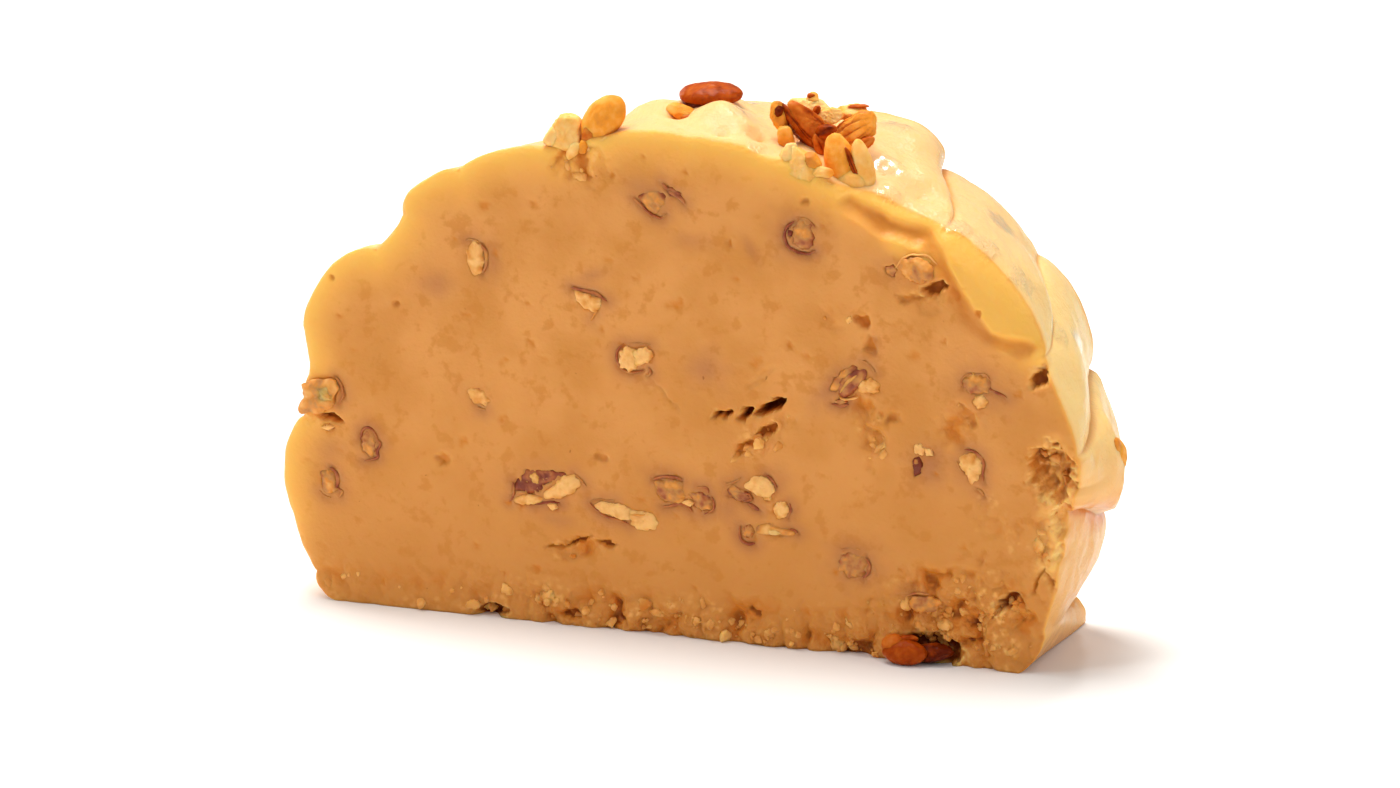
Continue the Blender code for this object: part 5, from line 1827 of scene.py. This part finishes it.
@dataclass
class Crumbs:
    """Loose crumbs of paste on the rough places of the cut faces and along the foot."""

    face_count: int = 300
    back_count: int = 90
    tries: int = 60000
    smallest: float = 0.25
    largest: float = 1.4
    sharpness: float = 18.0

    def crumb(self, at: Array, size: float, rng: np.random.Generator) -> tuple[Array, Array]:
        """One broken crumb: its points and its triangles.

        Args:
            at: its middle.
            size: its half size.
            rng: the source of its shape.

        Returns:
            Points and triangles.
        """
        away, triangles = BALLS[3 if size > 0.42 else 2]
        planes = rng.normal(size=(9, 3))
        planes /= np.linalg.norm(planes, axis=1)[:, None]
        gaps = rng.uniform(0.35, 0.85, 9)
        half = rng.uniform(0.75, 1.25, 3)
        total = np.linalg.norm(away / half, axis=1) ** self.sharpness
        total += ((np.maximum(away @ planes.T, 0) / gaps) ** self.sharpness).sum(1)
        reach = size * total ** (-1 / self.sharpness)
        reach *= 1 + 0.24 * GRAIN.layered(away * 1.8 + at * 3, 1.0, 3)
        return away * reach[:, None] + at, triangles

    def build(self, front: Relief, back: Relief, material: Material) -> Object:
        """Scatters the crumbs and joins them.

        Args:
            front: the front face's relief.
            back: the back face's relief.
            material: the crumbs' finish.

        Returns:
            The new object.
        """
        rng = np.random.default_rng(5)
        points, faces, total = [], [], 0
        for relief, side, count in ((front, -1, self.face_count), (back, 1, self.back_count)):
            x, z = rng.uniform(-62, 63, self.tries), rng.uniform(0.5, 78, self.tries)
            cluster = smooth_share(LUMPS.smooth(lifted(x, z, 33.0), 4.0), -0.2, 0.5)
            rough = relief.crumbled(x, z) * (0.35 + 0.65 * cluster)
            outline = Skin(step=2.0).profile((side + 1) / 2)
            gap = path_distance(x, z, outline)
            keep = (rng.random(self.tries) < rough**2.2) & (gap > 1.1)
            keep &= within(np.stack([x, z], 1), outline)
            x, z, gap = x[keep][:count], z[keep][:count], gap[keep][:count]
            depth, _ = relief.depth(x, z, gap)
            for i in range(len(x)):
                size = self.smallest + (self.largest - self.smallest) * rng.random() ** 2.4
                y = side * (THICKNESS / 2 - depth[i] - size * (0.3 * size - 0.1))
                shape, triangles = self.crumb(np.array([x[i], y, z[i]]), size, rng)
                shape[:, 2] = np.maximum(shape[:, 2], 0.05)
                points.append(shape)
                faces.append(triangles + total)
                total += len(shape)
        joined = np.concatenate(points)
        zeros = np.zeros(len(joined))
        marks = {"stain": zeros, "gloss": zeros, "rim": zeros, "skin": zeros, "wet": zeros}
        marks["rough"] = zeros + 0.6
        marks["amber_tone_and_shade"] = np.clip(0.3 - 0.5 * LUMPS.smooth(joined + 9, 4.0), 0, 0.5)
        marks["crumb"] = np.clip(0.4 + 0.8 * LUMPS.smooth(joined, 3.0), 0, 0.9)
        return mesh_piece("fudge_crumbs", joined, np.concatenate(faces), marks, material)


# Finishes


@dataclass(frozen=True)
class FudgePaste:
    """Cooked sugar, cream and butter beaten dense: light sinks in and comes back warm."""

    name: str = "fudge_paste_look"
    cut: str = "#E5A35A"
    # A second cut tone: random clouding, and painted shade towards the foot
    cut_dark_and_low_shade: str = "#D9964B"
    # Painted light: the warm glow colour that the rim mark lays along the edges
    rim: str = "#FFC05E"
    # Golden painted shade in hollows and valleys, also the tone of the loose crumbs and pores
    golden_and_hollow_shade: str = "#D98834"
    syrup: str = "#D08A3C"
    # Darker painted shade at pit bottoms and deep in hollows
    deep_painted_shade: str = "#843A0A"
    # Pale crumb colour, which on the crags' tops is partly a painted highlight
    crumb: str = "#FCC674"
    stain: str = "#B0704E"
    skin: str = "#FFCF8A"
    # Painted light and shade on the skin: a tone for the top and a darker one for the lower sides
    skin_painted_top: str = "#F3C486"
    skin_painted_low_shade: str = "#EEB266"
    fleck: str = "#A85C20"
    roughness: float = 0.42
    glow_depth: float = 0.65

    def material(self) -> Material:
        """Makes the paste's material.

        Returns:
            The material.
        """
        mat = bpy.data.materials.new(self.name)
        mat.use_nodes = True
        tree = mat.node_tree
        shader = tree.nodes["Principled BSDF"]
        place = add_node(tree, "ShaderNodeNewGeometry").outputs["Position"]
        marks = {
            mark: add_node(tree, "ShaderNodeAttribute", {"attribute_name": mark}).outputs["Fac"]
            for mark in ("amber_tone_and_shade", "crumb", "stain", "gloss", "rim", "skin", "rough", "wet")
        }
        height_up = add_node(tree, "ShaderNodeSeparateXYZ", {}, {0: place}).outputs["Z"]
        # Clouding about 11 mm across from uneven beating
        cloud = add_node(
            tree, NOISE, {}, {"Vector": place, "Scale": 90.0, "Detail": 3.0}
        ).outputs["Fac"]
        colour = mix_colour(
            tree, ramp_between(tree, cloud, 0.35, 0.7), linear(self.cut), linear(self.cut_dark_and_low_shade)
        )
        # Darker towards the foot: painted shade, as the light from above falls off low down
        low = ramp_between(tree, height_up, 0.05, -0.01)
        colour = mix_colour(tree, low, colour, linear(self.cut_dark_and_low_shade))
        # Spots of clear syrup 2 to 3 mm across
        syrup = add_node(
            tree, NOISE, {}, {"Vector": place, "Scale": 330.0, "Detail": 3.0, "Roughness": 0.6}
        ).outputs["Fac"]
        syrup = add_node(
            tree, MATH, MULTIPLY, {0: ramp_between(tree, syrup, 0.54, 0.66), 1: 0.55}
        ).outputs[0]
        colour = mix_colour(tree, syrup, colour, linear(self.syrup))
        # Flecks of pecan skin up to 1 mm across, one for every 5 mm of paste
        warp = add_node(
            tree, NOISE, {}, {"Vector": place, "Scale": 800.0, "Detail": 2.0}
        ).outputs["Color"]
        warp = add_node(
            tree, "ShaderNodeVectorMath", {"operation": "SCALE"}, {0: warp, "Scale": 0.0012}
        ).outputs[0]
        warped = add_node(
            tree, "ShaderNodeVectorMath", {"operation": "ADD"}, {0: place, 1: warp}
        ).outputs[0]
        cell = add_node(tree, "ShaderNodeTexVoronoi", {}, {"Vector": warped, "Scale": 200.0})
        size = add_node(
            tree, MATH, MULTIPLY_ADD, {0: cell.outputs["Color"], 1: 0.17, 2: -0.04}
        ).outputs[0]
        gap = cell.outputs["Distance"]
        fleck = add_node(tree, MATH, SUBTRACT, {0: size, 1: gap}).outputs[0]
        fleck = ramp_between(tree, fleck, 0.0, 0.05)
        bare = add_node(tree, MATH, SUBTRACT, {0: 0.85, 1: marks["skin"]}).outputs[0]
        fleck = add_node(
            tree, MATH, {**MULTIPLY, "use_clamp": True}, {0: fleck, 1: bare}
        ).outputs[0]
        colour = mix_colour(tree, fleck, colour, linear(self.fleck))
        # Painted light and shade by height on the skin: its own tone on the top, and a darker,
        # deeper orange on the lower sides where less light falls
        high = ramp_between(tree, height_up, 0.05, 0.074)
        outer = mix_colour(tree, high, linear(self.skin), linear(self.skin_painted_top))
        low = ramp_between(tree, height_up, 0.04, 0.022)
        outer = mix_colour(tree, low, outer, linear(self.skin_painted_low_shade))
        colour = mix_colour(tree, marks["skin"], colour, outer)
        # Laid over in turn: the rim mark's painted glow of light, the pecan stains, golden painted
        # shade in the hollows, darker painted shade deeper in, and the pale crumb colour, which on
        # the crags' tops is partly a painted highlight
        layers = (
            (ramp_between(tree, marks["rim"], 0.2, 0.9), self.rim),
            (marks["stain"], self.stain),
            (ramp_between(tree, marks["amber_tone_and_shade"], 0.0, 0.5), self.golden_and_hollow_shade),
            (ramp_between(tree, marks["amber_tone_and_shade"], 0.5, 1.0), self.deep_painted_shade),
            (marks["crumb"], self.crumb),
        )
        for share, tone in layers:
            colour = mix_colour(tree, share, colour, linear(tone))
        # Sugar grain of about 0.4 mm, drawn twice as coarse as it is so that it shows
        grain = add_node(
            tree, NOISE, {}, {"Vector": place, "Scale": 1300.0, "Detail": 2.0}
        ).outputs["Fac"]
        # Puckers 1.25 mm apart in the skin, which break the softboxes up into sparkles
        pucker = add_node(
            tree, NOISE, {}, {"Vector": place, "Scale": 800.0, "Detail": 1.0, "Distortion": 1.3}
        ).outputs["Fac"]
        patch = add_node(
            tree, MATH, MULTIPLY_ADD, {0: marks["skin"], 1: 0.25, 2: marks["wet"]}
        ).outputs[0]
        patch = add_node(tree, MATH, MULTIPLY, {0: patch, 1: 0.4}).outputs[0]
        height = add_node(tree, MATH, MULTIPLY, {0: pucker, 1: patch}).outputs[0]
        height = add_node(tree, MATH, MULTIPLY_ADD, {0: grain, 1: 0.14, 2: height}).outputs[0]
        # Crumbs of 1 mm on the torn paste
        crumbs = add_node(
            tree, "ShaderNodeTexVoronoi", {"feature": "F1"}, {"Vector": warped, "Scale": 1000.0}
        ).outputs["Distance"]
        crumbs = add_node(tree, MATH, MULTIPLY, {0: crumbs, 1: marks["rough"]}).outputs[0]
        height = add_node(tree, MATH, MULTIPLY_ADD, {0: crumbs, 1: -0.42, 2: height}).outputs[0]
        bump = add_node(
            tree, "ShaderNodeBump", {}, {"Strength": 0.8, "Distance": 0.0009, "Height": height}
        ).outputs["Normal"]
        rough = add_node(
            tree, "ShaderNodeMapRange", {}, {0: marks["gloss"], 3: self.roughness, 4: 0.26}
        ).outputs[0]
        tree.links.new(marks["wet"], shader.inputs["Coat Weight"])
        shader.inputs["Coat Roughness"].default_value = 0.12
        shader.inputs["Specular IOR Level"].default_value = 0.14
        tree.links.new(colour, shader.inputs["Base Color"])
        tree.links.new(rough, shader.inputs["Roughness"])
        tree.links.new(bump, shader.inputs["Normal"])
        shader.inputs["Subsurface Weight"].default_value = 1.0
        shader.inputs["Subsurface Radius"].default_value = (1.0, 0.76, 0.46)
        shader.inputs["Subsurface Scale"].default_value = self.glow_depth * MM
        shader.inputs["IOR"].default_value = 1.46
        return mat


@dataclass(frozen=True)
class PecanTissue:
    """Pecan kernel: oily cream flesh under a thin brown skin with darker veins."""

    name: str
    shine: float
    stops: tuple[tuple[float, str], ...]
    glow_depth: float = 0.4

    def material(self) -> Material:
        """Makes the pecan's material.

        Returns:
            The material.
        """
        mat = bpy.data.materials.new(self.name)
        mat.use_nodes = True
        tree = mat.node_tree
        shader = tree.nodes["Principled BSDF"]
        place = add_node(tree, "ShaderNodeNewGeometry").outputs["Position"]
        tissue = add_node(tree, "ShaderNodeAttribute", {"attribute_name": "tissue"}).outputs["Fac"]
        # Veins about 1 mm apart, with finer ones between them
        vein = add_node(
            tree, NOISE, {}, {"Vector": place, "Scale": 900.0, "Detail": 3.0}
        ).outputs["Fac"]
        shade = add_node(tree, MATH, MULTIPLY_ADD, {0: vein, 1: 0.34, 2: tissue}).outputs[0]
        shade = add_node(
            tree, MATH, {**SUBTRACT, "use_clamp": True}, {0: shade, 1: 0.17}
        ).outputs[0]
        ramp = add_node(tree, "ShaderNodeValToRGB", {}, {"Fac": shade})
        elements = ramp.color_ramp.elements
        while len(elements) < len(self.stops):
            elements.new(0.5)
        for element, (place_on_ramp, colour) in zip(elements, self.stops):
            element.position = place_on_ramp
            element.color = linear(colour)
        bump = add_node(
            tree, "ShaderNodeBump", {}, {"Strength": 0.5, "Distance": 0.0003, "Height": vein}
        ).outputs["Normal"]
        rough = add_node(
            tree, "ShaderNodeMapRange", {}, {0: tissue, 1: 0.3, 2: 0.8, 3: 0.5, 4: 0.3}
        ).outputs[0]
        tree.links.new(ramp.outputs["Color"], shader.inputs["Base Color"])
        tree.links.new(rough, shader.inputs["Roughness"])
        tree.links.new(bump, shader.inputs["Normal"])
        shader.inputs["Subsurface Weight"].default_value = 0.6
        shader.inputs["Subsurface Radius"].default_value = (1.0, 0.5, 0.2)
        shader.inputs["Subsurface Scale"].default_value = self.glow_depth * MM
        shader.inputs["Specular IOR Level"].default_value = self.shine
        shader.inputs["IOR"].default_value = 1.47
        return mat


# Smeared with paste by the knife, so paler and warmer than a clean kernel
SLICED_TISSUE = PecanTissue(
    "sliced_pecan_look",
    0.3,
    (
        (0.0, "#F8C074"), (0.17, "#ECAC5C"), (0.35, "#E0943E"), (0.5, "#C88A48"),
        (0.65, "#B86C38"), (0.82, "#984A2A"), (1.0, "#7C321A"),
    ),
)
# Toasted with the paste's oil on it
LOOSE_TISSUE = PecanTissue(
    "toasted_pecan_look",
    0.08,
    (
        (0.0, "#FFCC82"), (0.17, "#FBBA62"), (0.35, "#F29E34"), (0.5, "#D68636"),
        (0.65, "#CC681A"), (0.82, "#AA4406"), (1.0, "#641C02"),
    ),
)


@dataclass(frozen=True)
class StudioSweep:
    """Matt white sweep paper."""

    colour: str = "#F2F2F2"

    def material(self) -> Material:
        """Makes the paper's material.

        Returns:
            The material.
        """
        mat = bpy.data.materials.new("sweep_paper")
        mat.use_nodes = True
        shader = mat.node_tree.nodes["Principled BSDF"]
        shader.inputs["Base Color"].default_value = linear(self.colour)
        shader.inputs["Roughness"].default_value = 0.95
        shader.inputs["Specular IOR Level"].default_value = 0.1
        return mat


@dataclass
class Studio:
    """White floor, soft lights and the camera."""

    azimuth: float = 20.24
    elevation: float = 14.2
    distance: float = 817.1
    lens: float = 135.0
    aim: Triple = (-1.69, 0.0, 35.12)
    floor_size: float = 8.0

    def floor(self) -> Object:
        """Lays the white floor.

        Returns:
            The floor.
        """
        half = self.floor_size / 2
        mesh = bpy.data.meshes.new("studio_floor")
        corners = [(-half, -half, 0), (half, -half, 0), (half, half, 0), (-half, half, 0)]
        mesh.from_pydata(corners, [], [(0, 1, 2, 3)])
        mesh.materials.append(StudioSweep().material())
        obj = bpy.data.objects.new("studio_floor", mesh)
        bpy.context.scene.collection.objects.link(obj)
        return obj

    def light(
        self,
        name: str,
        place: Triple,
        size: float,
        power: float,
        colour: str = "#FFFFFF",
    ) -> None:
        """Adds a square soft light that faces the slice.

        Args:
            name: its name.
            place: where it stands, in metres.
            size: its side, in metres.
            power: its power, in watts.
            colour: its colour.
        """
        data = bpy.data.lights.new(name, "AREA")
        data.size = size
        data.energy = power
        data.color = linear(colour)[:3]
        obj = bpy.data.objects.new(name, data)
        obj.location = place
        away = Vector(place) - Vector((0, 0, 0.04))
        obj.rotation_euler = away.to_track_quat("Z", "Y").to_euler()
        bpy.context.scene.collection.objects.link(obj)

    def camera(self) -> None:
        """The camera at the photograph's angle."""
        data = bpy.data.cameras.new("camera")
        data.lens = self.lens
        data.sensor_width = 36.0
        data.clip_start = 0.01
        obj = bpy.data.objects.new("camera", data)
        a, e = math.radians(self.azimuth), math.radians(self.elevation)
        back = Vector((math.sin(a) * math.cos(e), -math.cos(a) * math.cos(e), math.sin(e)))
        aim = Vector((np.array(self.aim) + CENTRING) * MM)
        obj.location = aim + back * self.distance * MM
        obj.rotation_euler = back.to_track_quat("Z", "Y").to_euler()
        bpy.context.scene.collection.objects.link(obj)
        bpy.context.scene.camera = obj

    def build(self) -> None:
        """Sets up the whole studio."""
        self.floor()
        self.light("overhead_softbox", (-0.25, 0.16, 1.15), 0.65, 15.0, "#FFFBF4")
        self.light("left_back_softbox", (-0.95, 0.5, 0.45), 0.6, 3.6, "#FFF8EC")
        self.light("right_softbox", (1.0, 0.15, 0.6), 0.5, 1.4, "#FFFBF4")
        self.light("right_fill", (0.75, -0.8, 0.75), 0.5, 1.4)
        self.light("front_key", (-0.75, -0.75, 0.85), 0.3, 2.9)
        self.light("small_strobe", (0.1, 0.5, 0.8), 0.08, 1.2)
        self.light("small_front_strobe", (0.5, -0.4, 1.0), 0.06, 0.6)
        self.camera()
        world = bpy.data.worlds.new("studio_air")
        world.use_nodes = True
        background = world.node_tree.nodes["Background"]
        background.inputs["Color"].default_value = (1.0, 1.0, 1.0, 1.0)
        background.inputs["Strength"].default_value = 0.31
        bpy.context.scene.world = world
        bpy.context.scene.view_settings.view_transform = "Standard"
        bpy.context.scene.view_settings.look = "None"


def main() -> None:
    """Builds every piece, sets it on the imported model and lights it."""
    logging.basicConfig(level=logging.INFO, format="%(name)s: %(message)s")
    front = Relief(FRONT_PITS, FRONT_ROUGH, Seats(SLICED_FRONT), 3.0, True)
    back = Relief(BACK_PITS, BACK_ROUGH, Seats(SLICED_BACK), 8.0, False)
    paste, kernel = FudgePaste().material(), SLICED_TISSUE.material()
    toasted = LOOSE_TISSUE.material()
    crumbled = FudgePaste(name="fudge_crumb_look", glow_depth=0.15).material()

    fudge = FudgeSlice(front, back).build(paste)
    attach(fudge, "root")
    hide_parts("fudge")
    log.info("fudge slice with %d triangles", len(fudge.data.polygons))

    crumbs = Crumbs().build(front, back, crumbled)
    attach(crumbs, "root")
    log.info("crumbs with %d triangles", len(crumbs.data.polygons))

    pecans = Pecans()
    for rows, side, relief in ((SLICED_FRONT, -1, front), (SLICED_BACK, 1, back)):
        for node, parts in rows.items():
            piece = pecans.sliced(node + "_sliced", parts, side, relief, kernel)
            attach(piece, "root")
            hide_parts(node)
    for node, lumps in LOOSE.items():
        piece = pecans.loose(node + "_piece", lumps, toasted)
        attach(piece, "root")
        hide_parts(node)
    log.info("pecans in %d pieces", len(SLICED_FRONT) + len(SLICED_BACK) + len(LOOSE))
    Studio().build()


if __name__ == "__main__":
    main()
